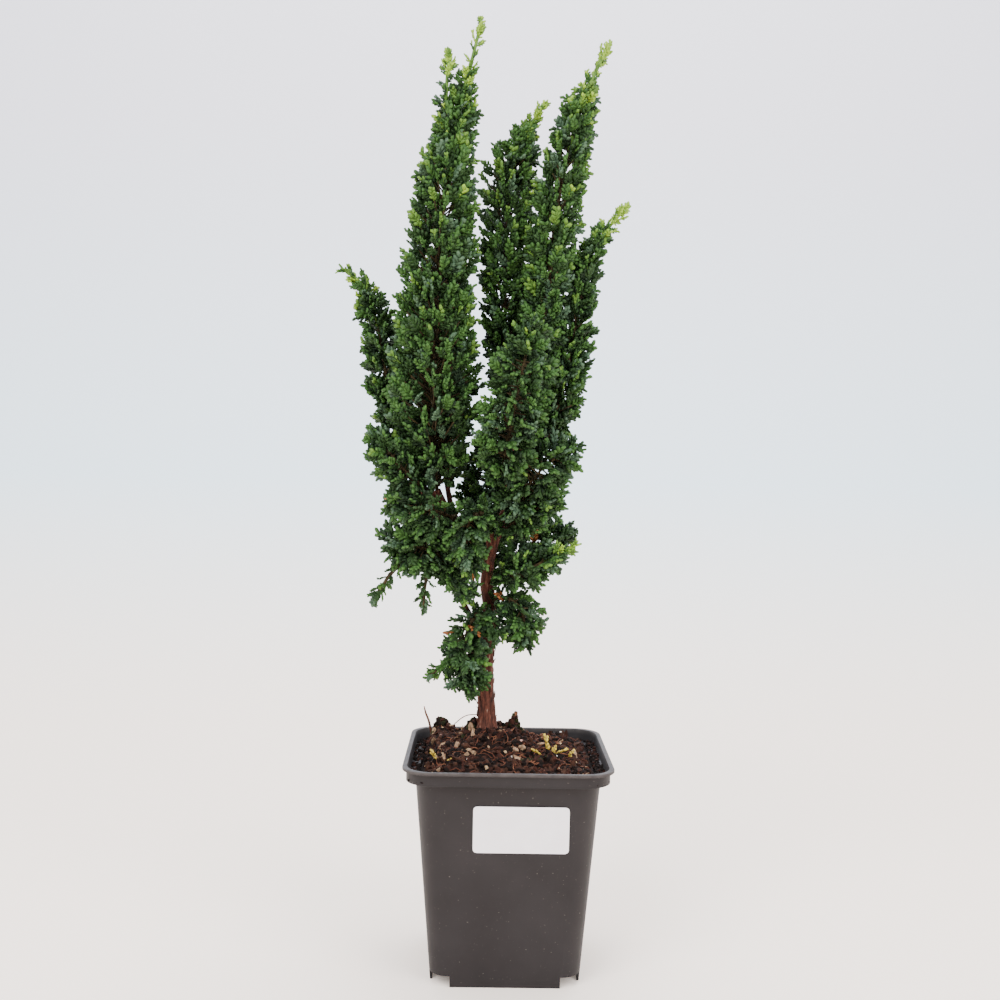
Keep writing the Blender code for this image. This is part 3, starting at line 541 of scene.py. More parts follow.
# Foliage: each mass grows twigs from its stems by the source's rule, and the twigs carry sprays
masses = {  # rise in degrees, droop, and stems of (x, y, z, radius)
    "left_leader": (42, 0.0, [
        [(-40.8, -3, 258.2, 15), (-43, -7, 285, 24), (-43, -9, 320, 23), (-42, -10, 362, 20),
         (-40, -9, 408, 16.5), (-34, -5, 452, 10), (-28, -3, 480, 5), (-21, 0, 511, 2)],
        [(-37, -7, 440, 6), (-39, -7, 466, 5), (-38, -6, 491, 2)]]),
    "centre_leader": (42, 0.0, [
        [(-3.5, 16, 315, 9), (-5, 19, 350, 13), (-5, 20, 390, 15), (-4, 20, 428, 14.5),
         (3, 18, 454, 6.5), (14, 16, 472, 1.5)]]),
    "right_leader": (42, 0.0, [
        [(3.3, 1, 285, 10), (11, 0, 320, 12), (17, 1, 360, 12.5), (21, 3, 404, 14), (28, 5, 445, 11),
         (36, 6, 474, 6), (42, 7, 488, 3.5), (48.5, 8, 503, 1.5)]]),
    "outer_right": (38, 0.0, [
        [(17, 8, 281, 10), (26, 9, 310, 13), (33, 10, 345, 11), (38, 11, 375, 8.5), (45, 12, 396, 6.5),
         (60.5, 14, 416, 1.5)]]),
    "outer_left": (35, 0.1, [
        [(-53.9, 8, 260, 10), (-64, 9, 285, 11), (-70, 11, 318, 10.5), (-76, 13, 348, 9),
         (-84, 15, 370, 5.5), (-95, 16, 380, 2)]]),
    "front_shoot": (20, 0.25, [
        [(-5.2, -19, 266, 11), (-3, -31, 285, 17), (2, -36, 313, 16), (9, -34, 347, 5)]]),
    "left_flank": (25, 0.15, [
        [(-45, -10, 258, 10), (-55, -15, 266, 13), (-65, -15, 277, 10.5), (-76, -12, 290, 4)]]),
    "left_lower": (30, 0.3, [
        [(-28.5, -10, 242.5, 10), (-40, -18, 247, 15), (-52, -19, 249, 12), (-61, -18, 253, 5)]]),
    "left_side": (30, 0.2, [
        [(-38, 0, 250, 5), (-47, 14, 246, 12), (-57, 20, 249, 10), (-63, 22, 254, 5)]]),
    "right_flank": (20, 0.35, [
        [(-4, 3, 245, 6), (4, -13, 255, 14), (13, -19, 268, 16), (22, -19, 276, 11.5),
         (31, -16, 282, 5)]]),
    "right_lower": (25, 0.3, [
        [(-8, 4.5, 234.5, 5), (0, -7, 240, 10), (9, -13, 247, 10.5), (17, -15, 251, 8),
         (25, -13, 253, 4)]]),
    "right_side": (30, 0.2, [
        [(-3.5, 3.3, 246.3, 4), (10, 11, 250, 10.5), (18, 15, 256, 8.5), (26, 17, 262, 4)]]),
    "low_left": (25, 0.3, [
        [(-33.5, -4, 213.1, 8), (-40, -9, 224, 15), (-52, -12, 228, 14), (-64, -12, 227, 6)],
        [(-56, -12, 222, 6), (-66, -12, 211, 5), (-73, -12, 199, 3)],
        [(-43, -11, 220, 6), (-46, -12, 207, 4), (-46.5, -12, 195, 3)],
        [(-38, -9, 222, 8), (-31, -12, 211, 8), (-24, -12, 203, 5)]]),
    "fork_tuft": (20, 0.4, [
        [(-6, 4, 240, 4), (-14, -14, 246, 11), (-22, -23, 243, 13), (-24, -24, 231, 12),
         (-20, -22, 220, 6)]]),
    "low_right": (40, 0.1, [
        [(-12.2, 5.4, 213, 3), (-4, -4, 212, 8), (6, -10, 215, 12), (18, -12, 221, 8),
         (26, -12, 225, 5), (34, -12, 229, 1.5)]]),
    "trunk_right": (20, 0.3, [
        [(-11.4, 7, 196, 3), (-2, -3, 200, 9), (6, -6, 194, 11.5), (8, -7, 184, 10),
         (7, -7, 175, 5)]]),
    "trunk_left": (15, 0.3, [
        [(-11.3, 7.3, 188, 3), (-20, -6, 188, 10), (-24, -10, 177, 14), (-22.5, -11, 163, 13),
         (-21, -11, 151, 5)],
        [(-28, -11, 168, 5), (-36, -12, 163, 4), (-42.5, -12, 158.5, 2.5)],
        [(-19, -7, 191, 7), (-10, -11, 188, 9), (-5, -12, 180, 7)],
        [(-20, -6, 200, 4), (-21, -8, 206, 5), (-20, -9, 211, 3)]]),
    "back_left": (40, 0.0, [
        [(-36, 18, 260.6, 11), (-41, 30, 285, 17.5), (-44, 35, 330, 17), (-43, 34, 365, 13),
         (-42, 32, 398, 4)]]),
    "back_right": (40, 0.0, [
        [(2.7, 22, 272, 11), (8, 33, 294, 17), (11, 38, 335, 16.5), (13, 38, 370, 11),
         (15, 36, 400, 4)]]),
    "back_low": (20, 0.25, [
        [(-10, 5, 228, 4), (-11, 26, 236, 13), (-13, 37, 250, 16), (-14, 41, 265, 15),
         (-15, 43, 284, 6)]]),
    "back_left_low": (25, 0.3, [
        [(-12.3, 5.5, 217, 3), (-24, 20, 222, 12), (-35, 31, 227, 15), (-46, 37, 231, 13),
         (-58, 41, 235, 5)]]),
    "back_right_low": (25, 0.3, [
        [(-12.4, 5.6, 212, 3), (0, 18, 217, 12), (11, 29, 224, 15), (22, 34, 229, 12),
         (33, 37, 234, 5)]]),
}
foliage = {
    "templates": 7,
    "pathSteps": 6,  # between two stations of a stem
    "firstTurn": (0, 6),  # radians
    "goldenAngle": math.radians(137.5),
    "turnSpread": 0.3,  # radians
    "areaPerSpray": 26.0,  # mm2 of a mass's outside for each spray
    "skin": 1.5,  # mm that the sprays add to a mass's radius
    "leastTwigs": 6,
    "shareSteps": 60,
    "tipShare": 2.0,  # mm added to the radius when twigs are shared out, so that a thin tip gets some
    "spraysPerTwig": 3,
    "twigStart": 0.12,  # share of the reach
    "twigRadii": (0.55, 0.4),
    "leanSpread": 14.0,  # degrees
    "tipLean": 25.0,  # degrees that the twigs at a stem's tip lean up further
    "tipPower": 4,
    "droopSpread": (0.6, 1.4),
    "reachSpread": (0.8, 1.0),
    "leastCosine": 0.66,  # holds back the reach of steep twigs
    "roll": 1.25,
    "sprayLength": (7.5, 11.5),
    "shortest": (5.5, 6.0),  # a twig's last spray and the ones beside it
    "branchFrom": 7.0,  # mm, the least twig that carries sprays beside its last one
    "branchAt": (0.35, 0.95),
    "branchTurn": 0.8,
    "branchSpread": (0.55, 1.0),
    "branchTilt": 0.4,
    "branchLength": (0.8, 1.05),
    "overlap": 2.5,  # mm that a spray may stand into a neighbour's space
    "uprightFrom": 33,  # rise of the masses that end in fresh green shoots
    "woodyShare": 0.6,  # of an upright shoot; its end is still green
    "greenSwell": 1.4,
    "tipGlow": 1.4,  # how much paler the sprays get at the end of an upright shoot
    "glowFrom": 0.7,
    "sideGlow": 0.2,  # and how much at the end of any other stem
    "stemRadii": (1.3, 0.6),
    "tipSprays": [(8.5, 5.5, 0.0), (7.0, 6.5, 0.55), (7.0, 9.0, 0.55), (7.0, 11.5, 0.55)],
    "tipTurn": 2.2,
}
spray = {  # shares of a spray's length
    "bend": 0.12,
    "wave": (0.06, 3.0),
    "axis": [(0.0, 0.5, 0.08, 0.0), (0.48, 0.95, 0.088, 1.0)],  # from, to, radius and rank
    "twiglets": 8,
    "twigletAt": (0.1, 0.78),  # of the first one, and how far on the last one is
    "twigletLength": (0.24, 0.38),
    "fullness": (0.2, 0.75),  # where the half wave of lengths starts, and how much of it is used
    "twigletRadius": 0.112,
    "lengthSpread": (0.85, 1.15),
    "radiusSpread": (0.9, 1.12),
    "twigletAngle": (38, 58),  # degrees
    "closing": 0.35,  # how far the angle closes towards the tip
    "twigletRise": 0.35,
    "flatness": 0.75,
    "ringShares": (0.0, 0.42, 0.88),  # stations of a twiglet's scale leaves
    "ringWidths": (0.6, 1.08, 0.9),
    "blunt": 0.3,
}
leafMix = {  # the numbers of materials are places in leafMaterials
    # painted light and shade: how deep in the crown and how high a spray stands make its leaves darker
    # or paler
    "depthLight": 0.32,
    "heightLight": 0.20,
    "endLight": 0.20,
    "lightSpread": 0.28,
    "lightSteps": [0.14, 0.44, 0.74, 0.92],  # between painted shade, deep, mid and fresh green, and new tips
    "lowest": 240,  # mm, where the leaves begin to get more painted light
    "tallness": 260,
    "middleRank": 0.3,
    "endRank": 0.72,  # past this share of a spray its twiglets take the colour of its end
    "shoots": 3,
    "grey": 5,
    "greyShare": 0.06,
    "greyDepth": 1.5,  # new growth isn't grey
    "dried": 6,
    "driedShare": 0.004,
    "driedHeight": 0.1,
}


def knobbyTwiglet(start, end, side, radius):
    # a three-sided stem of overlapping scale leaves, closed at its foot and drawn to a blunt tip
    along = end - start
    length = np.linalg.norm(along)
    along = along / length
    up = np.cross(along, side)
    verts = []
    for k, (share, width) in enumerate(zip(spray["ringShares"], spray["ringWidths"])):
        for corner in range(3):
            angle = math.tau * (corner + 0.5 * (k % 2)) / 3
            offset = side * math.cos(angle) + up * math.sin(angle) * spray["flatness"]
            verts.append(start + along * length * share + offset * radius * width)
    verts.append(end + along * radius * spray["blunt"])
    faces = [(2, 1, 0)]
    rings = len(spray["ringShares"])
    for k in range(rings - 1):
        low, high = 3 * k, 3 * (k + 1)
        for corner in range(3):
            after = (corner + 1) % 3
            over, under = (after, corner) if k % 2 else (corner, after)
            faces.append((low + corner, low + after, high + over))
            faces.append((low + under, high + after, high + corner))
    last, tip = 3 * (rings - 1), 3 * rings
    faces += [(last + corner, last + (corner + 1) % 3, tip) for corner in range(3)]
    return np.array(verts), np.array(faces)


def sprayTemplate(seed):
    # a flat fan one unit long: an axis with twiglets to alternate sides, longest in its middle
    chance = random.Random(seed)
    bend = chance.uniform(-spray["bend"], spray["bend"])
    rise, waves = spray["wave"]

    def axisPoint(t):
        return np.array([t, bend * t * t, rise * math.sin(waves * t)])

    parts = [(axisPoint(low), axisPoint(high), radius, rank)
             for low, high, radius, rank in spray["axis"]]
    first, onwards = spray["twigletAt"]
    shortest, longest = spray["twigletLength"]
    fullFrom, fullOver = spray["fullness"]
    for i in range(spray["twiglets"]):
        t = first + onwards * i / (spray["twiglets"] - 1)
        side = 1 if i % 2 else -1
        middling = math.sin(math.pi * (fullFrom + fullOver * t))
        length = (shortest + (longest - shortest) * middling) * chance.uniform(*spray["lengthSpread"])
        angle = math.radians(chance.uniform(*spray["twigletAngle"]) * (1 - spray["closing"] * t))
        rises = chance.uniform(-spray["twigletRise"], spray["twigletRise"])
        way = unit(np.array([math.cos(angle), side * math.sin(angle), rises]))
        start = axisPoint(t)
        parts.append((start, start + way * length, spray["twigletRadius"], t))
    twiglets = []
    for start, end, radius, rank in parts:
        side = unit(np.cross([0.0, 0.0, 1.0], unit(end - start)))
        swell = chance.uniform(*spray["radiusSpread"])
        points, triangles = knobbyTwiglet(start, end, side, radius * swell)
        twiglets.append((points, triangles, np.full(len(triangles), rank)))
    return joinParts(twiglets)


class Stem:
    # a smooth path with its directions, read at any share of its length
    def __init__(self, stations):
        self.path = smoothPath(stations, foliage["pathSteps"])
        steps = np.gradient(self.path[:, :3], axis=0)
        self.tangents = steps / np.linalg.norm(steps, axis=1)[:, None]
        guide = np.eye(3)[int(np.argmin(np.abs(self.tangents.mean(axis=0))))]
        side = np.cross(self.tangents, guide)
        self.side = side / np.linalg.norm(side, axis=1)[:, None]
        self.front = np.cross(self.tangents, self.side)
        lengths = np.linalg.norm(np.diff(self.path[:, :3], axis=0), axis=1)
        self.at = np.append(0, np.cumsum(lengths)) / lengths.sum()
        self.length = lengths.sum()

    def read(self, values, share):
        return np.array([np.interp(share, self.at, column) for column in values.T])

    def radius(self, share):
        return float(np.interp(share, self.at, self.path[:, 3]))

    def outward(self, share, angle):
        side, front = self.read(self.side, share), self.read(self.front, share)
        return unit(side * math.cos(angle) + front * math.sin(angle))


def depthIn(points, path):
    # how far points stand out of the space round a path, or below nought how deep they are in it
    away = np.linalg.norm(points[:, None, :] - path[None, :, :3], axis=2)
    return (away - path[None, :, 3]).min(axis=1)


def twigShares(stem):
    # where a stem's twigs start, closer together where it is thick
    area = stem.length * math.tau * (stem.path[:, 3].mean() + foliage["skin"])
    count = round(area / foliage["areaPerSpray"] / foliage["spraysPerTwig"])
    count = max(foliage["leastTwigs"], count)
    shares = np.linspace(0, 1, foliage["shareSteps"])
    weight = np.cumsum([stem.radius(share) + foliage["tipShare"] for share in shares])
    weight = (weight - weight[0]) / (weight[-1] - weight[0])
    return [float(np.interp((i + 0.5) / count, weight, shares)) for i in range(count)]


def growTwig(chance, rise, droop, stem, share, turn):
    # a spray at the end of one twig and others beside it, and the twig itself, unless it is too short
    outward = stem.outward(share, turn)
    tangent = stem.read(stem.tangents, share)
    foot = stem.read(stem.path[:, :3], share)
    reach = stem.radius(share)
    spread = foliage["leanSpread"]
    lean = rise + foliage["tipLean"] * share ** foliage["tipPower"]
    lean = math.radians(lean + chance.uniform(-spread, spread))
    way = outward * math.cos(lean) + tangent * math.sin(lean)
    way[2] -= droop * chance.uniform(*foliage["droopSpread"])
    way = unit(way)
    root = foot + outward * reach * foliage["twigStart"]
    span = reach * chance.uniform(*foliage["reachSpread"]) / max(foliage["leastCosine"], math.cos(lean))
    lift = unit(tangent - way * tangent.dot(way))
    roll = chance.uniform(-foliage["roll"], foliage["roll"])
    flat = unit(lift * math.cos(roll) + np.cross(way, lift) * math.sin(roll))
    size = chance.uniform(*foliage["sprayLength"])
    tipStart = max(0.0, span - size)
    glow = 0
    if rise > foliage["uprightFrom"]:
        glow = foliage["tipGlow"] * max(0, share - foliage["glowFrom"]) / (1 - foliage["glowFrom"])
    least, leastBeside = foliage["shortest"]
    sprays = [(root + way * tipStart, way, flat, min(size, max(span, least)), 1.0 + glow)]
    branches = foliage["spraysPerTwig"] - 1 if span >= foliage["branchFrom"] else 0
    for k in range(branches):
        at = tipStart * chance.uniform(*foliage["branchAt"])
        side = flat * (-1 if k % 2 else 1)
        side = side + np.cross(way, flat) * chance.uniform(-foliage["branchTurn"], foliage["branchTurn"])
        branchWay = unit(way + unit(side) * chance.uniform(*foliage["branchSpread"]))
        branchFlat = unit(np.cross(branchWay, np.cross(flat, way) + foliage["branchTilt"] * side))
        length = max(leastBeside, min(size, span - at) * chance.uniform(*foliage["branchLength"]))
        sprays.append((root + way * at, branchWay, branchFlat, length, at / max(span, 1) + glow))
    if tipStart <= 1:
        return sprays, []
    return sprays, [np.column_stack([[foot, root + way * tipStart], foliage["twigRadii"]])]


def stemTip(stem, turn, glow):
    # a tuft that closes a stem's end: one spray straight on, and the others round it
    tangent = stem.tangents[-1]
    tuft = []
    for k, (length, back, spread) in enumerate(foliage["tipSprays"]):
        out = stem.outward(1.0, turn + k * foliage["tipTurn"])
        way = unit(tangent + out * spread)
        root = stem.path[-1, :3] - tangent * back
        tuft.append((root, way, unit(np.cross(way, out + 0.01)), length, 1.0 + glow))
    return tuft


def growMass(name, seed, spaces):
    # returns the sprays as (root, way, flat, length, depth from 0 inside to 1 outside), the woody twigs
    # and the green ends of the upright shoots
    rise, droop, paths = masses[name]
    upright = rise > foliage["uprightFrom"]
    chance = random.Random(seed)
    others = np.vstack([path for key, path in spaces.items() if key != name])
    sprays, twigs, shoots = [], [], []
    turn = chance.uniform(*foliage["firstTurn"])
    spread = foliage["turnSpread"]
    for stem in [Stem(path) for path in paths]:
        for share in twigShares(stem):
            turn += foliage["goldenAngle"] + chance.uniform(-spread, spread)
            grown, twig = growTwig(chance, rise, droop, stem, share, turn)
            tips = np.array([root + way * length for root, way, _, length, _ in grown])
            clear = depthIn(tips, spaces[name]) - foliage["overlap"] <= depthIn(tips, others)
            kept = [item for item, fits in zip(grown, clear) if fits]
            sprays += kept
            if kept:
                twigs += twig
        sprays += stemTip(stem, turn, foliage["tipGlow"] if upright else foliage["sideGlow"])
        stemPath = stem.path[::2].copy()
        stemPath[:, 3] = np.linspace(*foliage["stemRadii"], len(stemPath))
        green = len(stemPath)
        if upright:
            green = round(len(stemPath) * foliage["woodyShare"])
            stemPath[green:, 3] *= foliage["greenSwell"]
            shoots.append(stemPath[green - 1:])
        twigs.append(stemPath[:green])
    return sprays, twigs, shoots


def leafKind(chance, depth, height, rank):
    # painted light and shade: paler outside and high up, darker inside where shade falls; fresher at a
    # spray's end, where new growth shows; with some grey or dried
    light = leafMix["depthLight"] * depth + leafMix["heightLight"] * height + leafMix["endLight"] * rank
    light += chance.uniform(-leafMix["lightSpread"], leafMix["lightSpread"])
    if chance.random() < leafMix["greyShare"] and depth < leafMix["greyDepth"]:
        return leafMix["grey"]
    if height < leafMix["driedHeight"] and chance.random() < leafMix["driedShare"]:
        return leafMix["dried"]
    return int(np.searchsorted(leafMix["lightSteps"], light))


def spraysMesh(name, sprays, templates, seed):
    chance = random.Random(seed)
    parts = []
    for root, way, flat, length, depth in sprays:
        verts, faces, ranks = templates[chance.randrange(len(templates))]
        across = unit(flat - way * flat.dot(way)) * (1 if chance.random() < 0.5 else -1)
        turned = verts @ np.array([way, across, np.cross(way, across)]) * length + root
        # painted light: sprays higher up get paler leaves
        height = min(1, max(0, (root[2] - leafMix["lowest"]) / leafMix["tallness"]))
        whole = leafKind(chance, depth, height, leafMix["middleRank"])
        end = leafKind(chance, depth, height, 1.0)
        end = max(whole, end) if whole < leafMix["grey"] else whole
        parts.append((turned, faces, np.where(ranks > leafMix["endRank"], end, whole)))
    return meshFromParts(name, parts)


def makeFoliage(leafMaterials, twigSkin):
    templates = [sprayTemplate(seed) for seed in range(foliage["templates"])]
    spaces = {name: np.vstack([smoothPath(path, foliage["pathSteps"]) for path in paths])
              for name, (_, _, paths) in masses.items()}
    allTwigs, allShoots = [], []
    total = 0
    for seed, name in enumerate(masses):
        sprays, twigs, shoots = growMass(name, seed, spaces)
        mesh = spraysMesh(name + "_sprays", sprays, templates, seed)
        addPiece(name + "_sprays", mesh, leafMaterials, [name])
        total += len(mesh.polygons)
        allTwigs += twigs
        allShoots += shoots
        print(name, len(sprays), "sprays,", len(mesh.polygons), "triangles")
    addPiece("twigs", tubesMesh("twigs", allTwigs, sides=4), [twigSkin])
    green = tubesMesh("green_shoots", allShoots, sides=6)
    addPiece("green_shoots", green, [leafMaterials[leafMix["shoots"]]])
    print("foliage", total, "triangles")


# Potting mix: the CAD heap made fine and crumbly, with crumbs, chips, grit, fibres and dead sprigs on it
mix = {
    "cuts": 7,
    "coarse": (1.5, 5.5),  # height and width of the heap's bumps
    "fine": (0.8, 1.8),
    "topFrom": 105.3,  # the faces above this that look up by more than topSlope are cut finer
    "topSlope": 0.1,
    "heapFrom": 107.8,  # the bumps start here, and die out over edgeFade beside the wall
    "edgeFade": 4.0,
    "edgeHalf": 46.3,
    "edgeHeight": 108.3,
    "above": 200,  # where the rays that look for the surface start
    # grains: number, margin to the edge, sizes, shape, lift in mm and as a share of size, materials
    "crumbs": dict(count=1700, margin=2, size=(0.7, 2.4), shape=(1, 0.8, 0.6), lift=(0, 0.2),
                   kinds=(0, 0, 0, 1, 1, 2)),
    "spilled": dict(count=650, size=(0.5, 1.5), shape=(1, 0.8, 0.5), lift=(0, 0.25), kinds=(0, 0, 0, 1)),
    "mossy": dict(margin=3, size=(0.8, 2.2), shape=(1, 0.7, 0.8), lift=(0, 0), kinds=(0, 1, 3)),
    "chips": dict(count=260, margin=4, size=(1.6, 4.2), shape=(1, 0.45, 0.22), lift=(0.5, 0),
                  kinds=(0, 1, 2, 2, 4)),
    "grit": dict(count=48, margin=4, size=(0.6, 1.7), shape=(1, 0.85, 0.7), lift=(0, 0.3),
                 kinds=(0, 1, 1, 2)),
    "blobs": {  # subdivisions, number of shapes, and roughness
        "peat_crumbs": (1, 6, 0.5), "bark_chips": (2, 5, 0.8), "grit": (2, 5, 0.35)},
    "blobNoise": (1.7, 7.3),  # how fast it changes, and how far apart the shapes are in it
    "ledge": (46.5, 51.6, 110.0),  # the step inside the lip: from and to half widths, and height
    "lumps": [  # x, y, spread, rise, crumbs: mossy stub right of the trunk, moss at its left, back lump
        (4, 14, 4, 8, 90), (-19, 12, 4.5, 5, 70), (-38, 37, 5, 7, 70), (14, -20, 7, 2, 60)],
    "trunk": (-11.4, 10.0, 7.0),  # place, and how far the lumps keep clear of it
    # fibres: share of the radius lost at each step, and the least lift with how much more at most
    "fibres": dict(count=210, margin=6, radius=(0.14, 0.42), thins=0.08, steps=7, stride=(1.0, 2.6),
                   bend=0.5, lift=(0.4, 1.3), half=44),
    "longRoot": [(-26, -40, 1.2, 0.7), (-15, -42, 1.4, 0.6), (-6, -41, 1.2, 0.5), (0, -42, 1.0, 0.35)],
    "standing": [  # a dead twig at the back left, a fine hair, and the core of the mossy stub
        [(-43, 40, 113, 0.8), (-45, 40, 122, 0.7), (-47, 40, 127, 0.6), (-48, 40, 131, 0.3)],
        [(-30, 14, 126, 0.3), (-26, 12, 130, 0.3), (-22, 10, 132.5, 0.3), (-17, 9, 133, 0.3)],
        [(3.5, 14, 124, 2.6), (4, 14.5, 129, 2.2), (5, 14, 134, 1.0)]],
    "standingStep": 2,
    "sprigs": [  # x, y, length and direction
        (22, -10, 9, (-0.1, 0.2, 1)), (19, -12, 7, (-0.9, 0, 0.5)), (26, -11, 7, (0.9, -0.2, 0.5)),
        (33, -8, 6, (0.4, -0.3, 0.7)), (-38, -22, 7, (-0.4, -0.2, 0.8)), (-33, -24, 5, (0.6, -0.3, 0.6)),
        (24, -14, 7, (0.3, -0.7, 0.6))],
    "sprigLift": 0.3,
    "sprigFlat": (0.3, -1.0, 0.4),
}


def roughMix(material):
    # gives back a tree of the finished surface, which says how high it is at any place
    bm = bmesh.new()
    bm.from_mesh(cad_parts["potting_mix"].data)
    bmesh.ops.remove_doubles(bm, verts=bm.verts, dist=weld)
    top = [face for face in bm.faces
           if face.calc_center_median().z > mix["topFrom"] * mm and face.normal.z > mix["topSlope"]]
    edges = list({edge for face in top for edge in face.edges})
    bmesh.ops.subdivide_edges(bm, edges=edges, cuts=mix["cuts"], use_grid_fill=True)
    for vert in bm.verts:
        if vert.co.z < mix["heapFrom"] * mm:
            continue
        inside = mix["edgeHalf"] - max(abs(vert.co.x), abs(vert.co.y)) / mm
        hold = min(1, max(0, inside / mix["edgeFade"]))
        for height, width in (mix["coarse"], mix["fine"]):
            vert.co.z += height * mm * hold * noise.noise(vert.co / (width * mm))
    bmesh.ops.recalc_face_normals(bm, faces=bm.faces)
    tree = BVHTree.FromBMesh(bm)
    mesh = meshFromBmesh(bm, "potting_mix_heap", sharp=60)
    addPiece("potting_mix_heap", mesh, [material], ["potting_mix"])
    return tree


def blobTemplates(subdivisions, shapes, roughness):
    quick, apart = mix["blobNoise"]
    templates = []
    for seed in range(shapes):
        bm = bmesh.new()
        bmesh.ops.create_icosphere(bm, subdivisions=subdivisions, radius=1.0)
        for vert in bm.verts:
            vert.co *= 1 + roughness * noise.noise(vert.co * quick + Vector((seed * apart, 0, 0)))
        bmesh.ops.triangulate(bm, faces=bm.faces)
        verts = np.array([vert.co[:] for vert in bm.verts])
        faces = np.array([[vert.index for vert in face.verts] for face in bm.faces])
        bm.free()
        templates.append((verts, faces))
    return templates


def grainsMesh(name, grains):
    # grains are (point in mm, three sizes in mm, turn, material index)
    templates = blobTemplates(*mix["blobs"][name])
    parts = []
    for number, (point, sizes, turn, kind) in enumerate(grains):
        verts, faces = templates[number % len(templates)]
        turned = (verts * np.array(sizes)) @ np.array(turn).T + np.array(point)
        parts.append((turned, faces, np.full(len(faces), kind)))
    return meshFromParts(name, parts, flat=True)


def makeMixDetail(tree, crumbMaterials, gritMaterials, fibreMaterial, sprigMaterial, templates):
    chance = random.Random(21)

    def heightAt(x, y):
        hit = tree.ray_cast(Vector((x, y, mix["above"])) * mm, Vector((0, 0, -1)))[0]
        return hit.z / mm if hit else mix["edgeHeight"]

    def randomSpot(margin):
        limit = mix["edgeHalf"] - margin
        return chance.uniform(-limit, limit), chance.uniform(-limit, limit)

    def lay(grain, x, y, z, heap=None):
        # one grain of a kind at a place, anywhere up to the top of a heap
        size = chance.uniform(*grain["size"])
        up, share = grain["lift"]
        z += up + share * size
        if heap is not None:
            z += heap * chance.uniform(0, 1)
        angle = chance.uniform(0, math.tau)
        turn = Matrix.Rotation(angle, 3, (chance.uniform(-1, 1), chance.uniform(-1, 1), 1))
        sizes = [size * part for part in grain["shape"]]
        return (x, y, z), sizes, turn, chance.choice(grain["kinds"])

    def scatter(grain):
        spots = (randomSpot(grain["margin"]) for i in range(grain["count"]))
        return [lay(grain, x, y, heightAt(x, y)) for x, y in spots]

    crumbs = scatter(mix["crumbs"])
    near, far, level = mix["ledge"]
    for i in range(mix["spilled"]["count"]):  # peat that has spilled on the step inside the lip
        across, along = chance.uniform(near, far), chance.uniform(-near, near)
        x, y = chance.choice(((across, along), (-across, along), (along, across), (along, -across)))
        crumbs.append(lay(mix["spilled"], x, y, level))
    trunkX, trunkY, clear = mix["trunk"]
    lumpHalf = mix["edgeHalf"] - mix["mossy"]["margin"]
    for x0, y0, spread, rise, count in mix["lumps"]:
        for i in range(count):
            x, y = x0 + chance.gauss(0, spread / 2), y0 + chance.gauss(0, spread / 2)
            if math.hypot(x - trunkX, y - trunkY) < clear or max(abs(x), abs(y)) > lumpHalf:
                continue
            heap = rise * math.exp(-((x - x0) ** 2 + (y - y0) ** 2) / spread ** 2)
            crumbs.append(lay(mix["mossy"], x, y, heightAt(x, y), heap))
    addPiece("peat_crumbs", grainsMesh("peat_crumbs", crumbs), crumbMaterials)
    chips = grainsMesh("bark_chips", scatter(mix["chips"]))
    addPiece("bark_chips", chips, crumbMaterials)
    addPiece("grit", grainsMesh("grit", scatter(mix["grit"])), gritMaterials)

    fibre = mix["fibres"]
    fibres = []
    for i in range(fibre["count"]):
        x, y = randomSpot(fibre["margin"])
        angle = chance.uniform(0, math.tau)
        radius = chance.uniform(*fibre["radius"])
        path = []
        for step in range(fibre["steps"]):
            z = heightAt(x, y) + fibre["lift"][0] + chance.uniform(0, fibre["lift"][1])
            path.append([x, y, z, radius * (1 - fibre["thins"] * step)])
            angle += chance.uniform(-fibre["bend"], fibre["bend"])
            stride = chance.uniform(*fibre["stride"])
            x = min(max(x + math.cos(angle) * stride, -fibre["half"]), fibre["half"])
            y = min(max(y + math.sin(angle) * stride, -fibre["half"]), fibre["half"])
        fibres.append(np.array(path))
    longRoot = [[x, y, heightAt(x, y) + up, radius] for x, y, up, radius in mix["longRoot"]]
    fibres.append(np.array(longRoot))
    fibres += [evenPath(stations, mix["standingStep"]) for stations in mix["standing"]]
    addPiece("root_fibres", tubesMesh("root_fibres", fibres, sides=6), [fibreMaterial])

    sprigs = []
    for x, y, length, way in mix["sprigs"]:
        root = np.array([x, y, heightAt(x, y) + mix["sprigLift"]])
        sprigs.append((root, unit(np.array(way)), unit(np.array(mix["sprigFlat"])), length, 1.0))
    mesh = spraysMesh("dead_sprigs", sprigs, templates, seed=3)
    mesh.polygons.foreach_set("material_index", np.zeros(len(mesh.polygons), dtype=np.int32))
    addPiece("dead_sprigs", mesh, [sprigMaterial])


# The scene
makeCamera()
makeStudio()
print("stage: studio and camera")

makePot(potMaterial())
# smooth coated label paper: bright and faintly pink, with hardly any grain
labelPaper = mottledMaterial("label paper", [(0.3, "#ece6ea"), (0.7, "#f3eef1")],
                             12, 0.55, 0.4, 0.05, 0.4)
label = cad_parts["label"].data
label.materials.clear()
label.materials.append(labelPaper)
print("stage: pot and label")

makeLimbs(barkMaterial())
print("stage: limbs")

leafMaterials = [  # from painted shade inside the crown, through greens painted paler outwards and upwards, out to its new growth, then the odd ones
    leafMaterial("scale leaves in shade", "#101f10", "#172a15", "#20371b"),
    leafMaterial("scale leaves deep green", "#1b2f16", "#243c1b", "#2f4a22"),
    leafMaterial("scale leaves mid green", "#29451d", "#345424", "#42642b"),
    leafMaterial("scale leaves fresh green", "#3f6024", "#4f702a", "#628132"),
    leafMaterial("scale leaves new tips", "#618528", "#7a9b33", "#96ae3e"),
    leafMaterial("scale leaves grey green", "#2f4533", "#3e553e", "#4f664b"),
    leafMaterial("scale leaves dried", "#5d3219", "#7f4c29", "#9c6c40"),
]
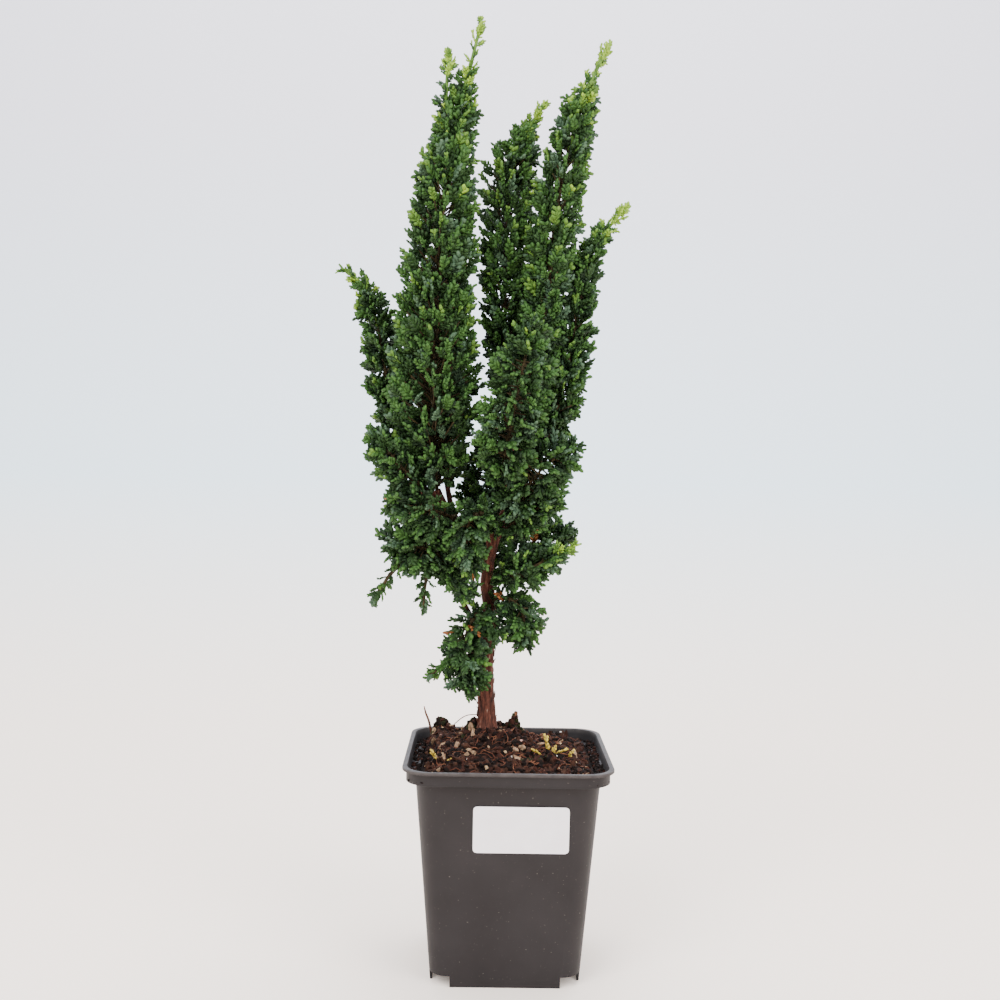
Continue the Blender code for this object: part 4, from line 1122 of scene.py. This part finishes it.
# young shoots: brown-green and smooth, in long patches of darker bark
shootStops = [(0.3, "#221d12"), (0.6, "#40351f"), (0.8, "#5a4a2a")]
makeFoliage(leafMaterials, mottledMaterial("young cypress shoot", shootStops, 5, 0.8, 0.2))
print("stage: foliage")

# damp peat and composted bark: nearly black brown and matt, with redder, paler and mossy bits
peat = mottledMaterial("damp peat", [(0.3, "#0d0807"), (0.5, "#180e0b"), (0.7, "#2a1811")],
                       2.2, 0.95, 0.15, 0.8, 0.7)
crumbLooks = [  # name, dark and light colour, grain in mm, roughness and specular
    ("peat crumb", "#0d0807", "#1b110d", 1.5, 0.95, 0.15),
    ("red bark crumb", "#1f0f0a", "#3a1c12", 1.5, 0.9, 0.2),
    ("brown bark chip", "#26160f", "#462a1d", 2, 0.85, 0.2),
    ("moss crumb", "#17180e", "#2f3019", 1.5, 0.95, 0.15),
    ("pale bark chip", "#755842", "#a08469", 2, 0.85, 0.2),
]
crumbMaterials = [mottledMaterial(name, [(0.35, dark), (0.65, light)], grain, rough, specular, 0.6, 0.5)
                  for name, dark, light, grain, rough, specular in crumbLooks]
# perlite and broken stone: dull and pitted, in white, tan and pink
gritLooks = [
    ("white perlite grit", "#cfc4b8", "#efe8de"),
    ("tan grit", "#a1825f", "#c7a884"),
    ("pink grit", "#a47468", "#c99b8c"),
]
gritMaterials = [mottledMaterial(name, [(0.35, dark), (0.65, light)], 1.2, 0.8, 0.3, 0.5, 0.4)
                 for name, dark, light in gritLooks]
# fine roots: red-brown, a little woody, and paler where they have dried
fibreMaterial = mottledMaterial("root fibre", [(0.3, "#33180f"), (0.5, "#593021"), (0.7, "#8a5c40")],
                                6, 0.8, 0.25, 0.3, 0.5)
# fallen sprigs: dry, dull and yellow
sprigMaterial = mottledMaterial("yellowed sprig", [(0.35, "#a98a2f"), (0.65, "#d6bd55")],
                                2, 0.7, 0.3, 0.3, 0.5)
mixTree = roughMix(peat)
sprigTemplates = [sprayTemplate(seed) for seed in range(40, 43)]
makeMixDetail(mixTree, crumbMaterials, gritMaterials, fibreMaterial, sprigMaterial, sprigTemplates)
print("stage: potting mix")
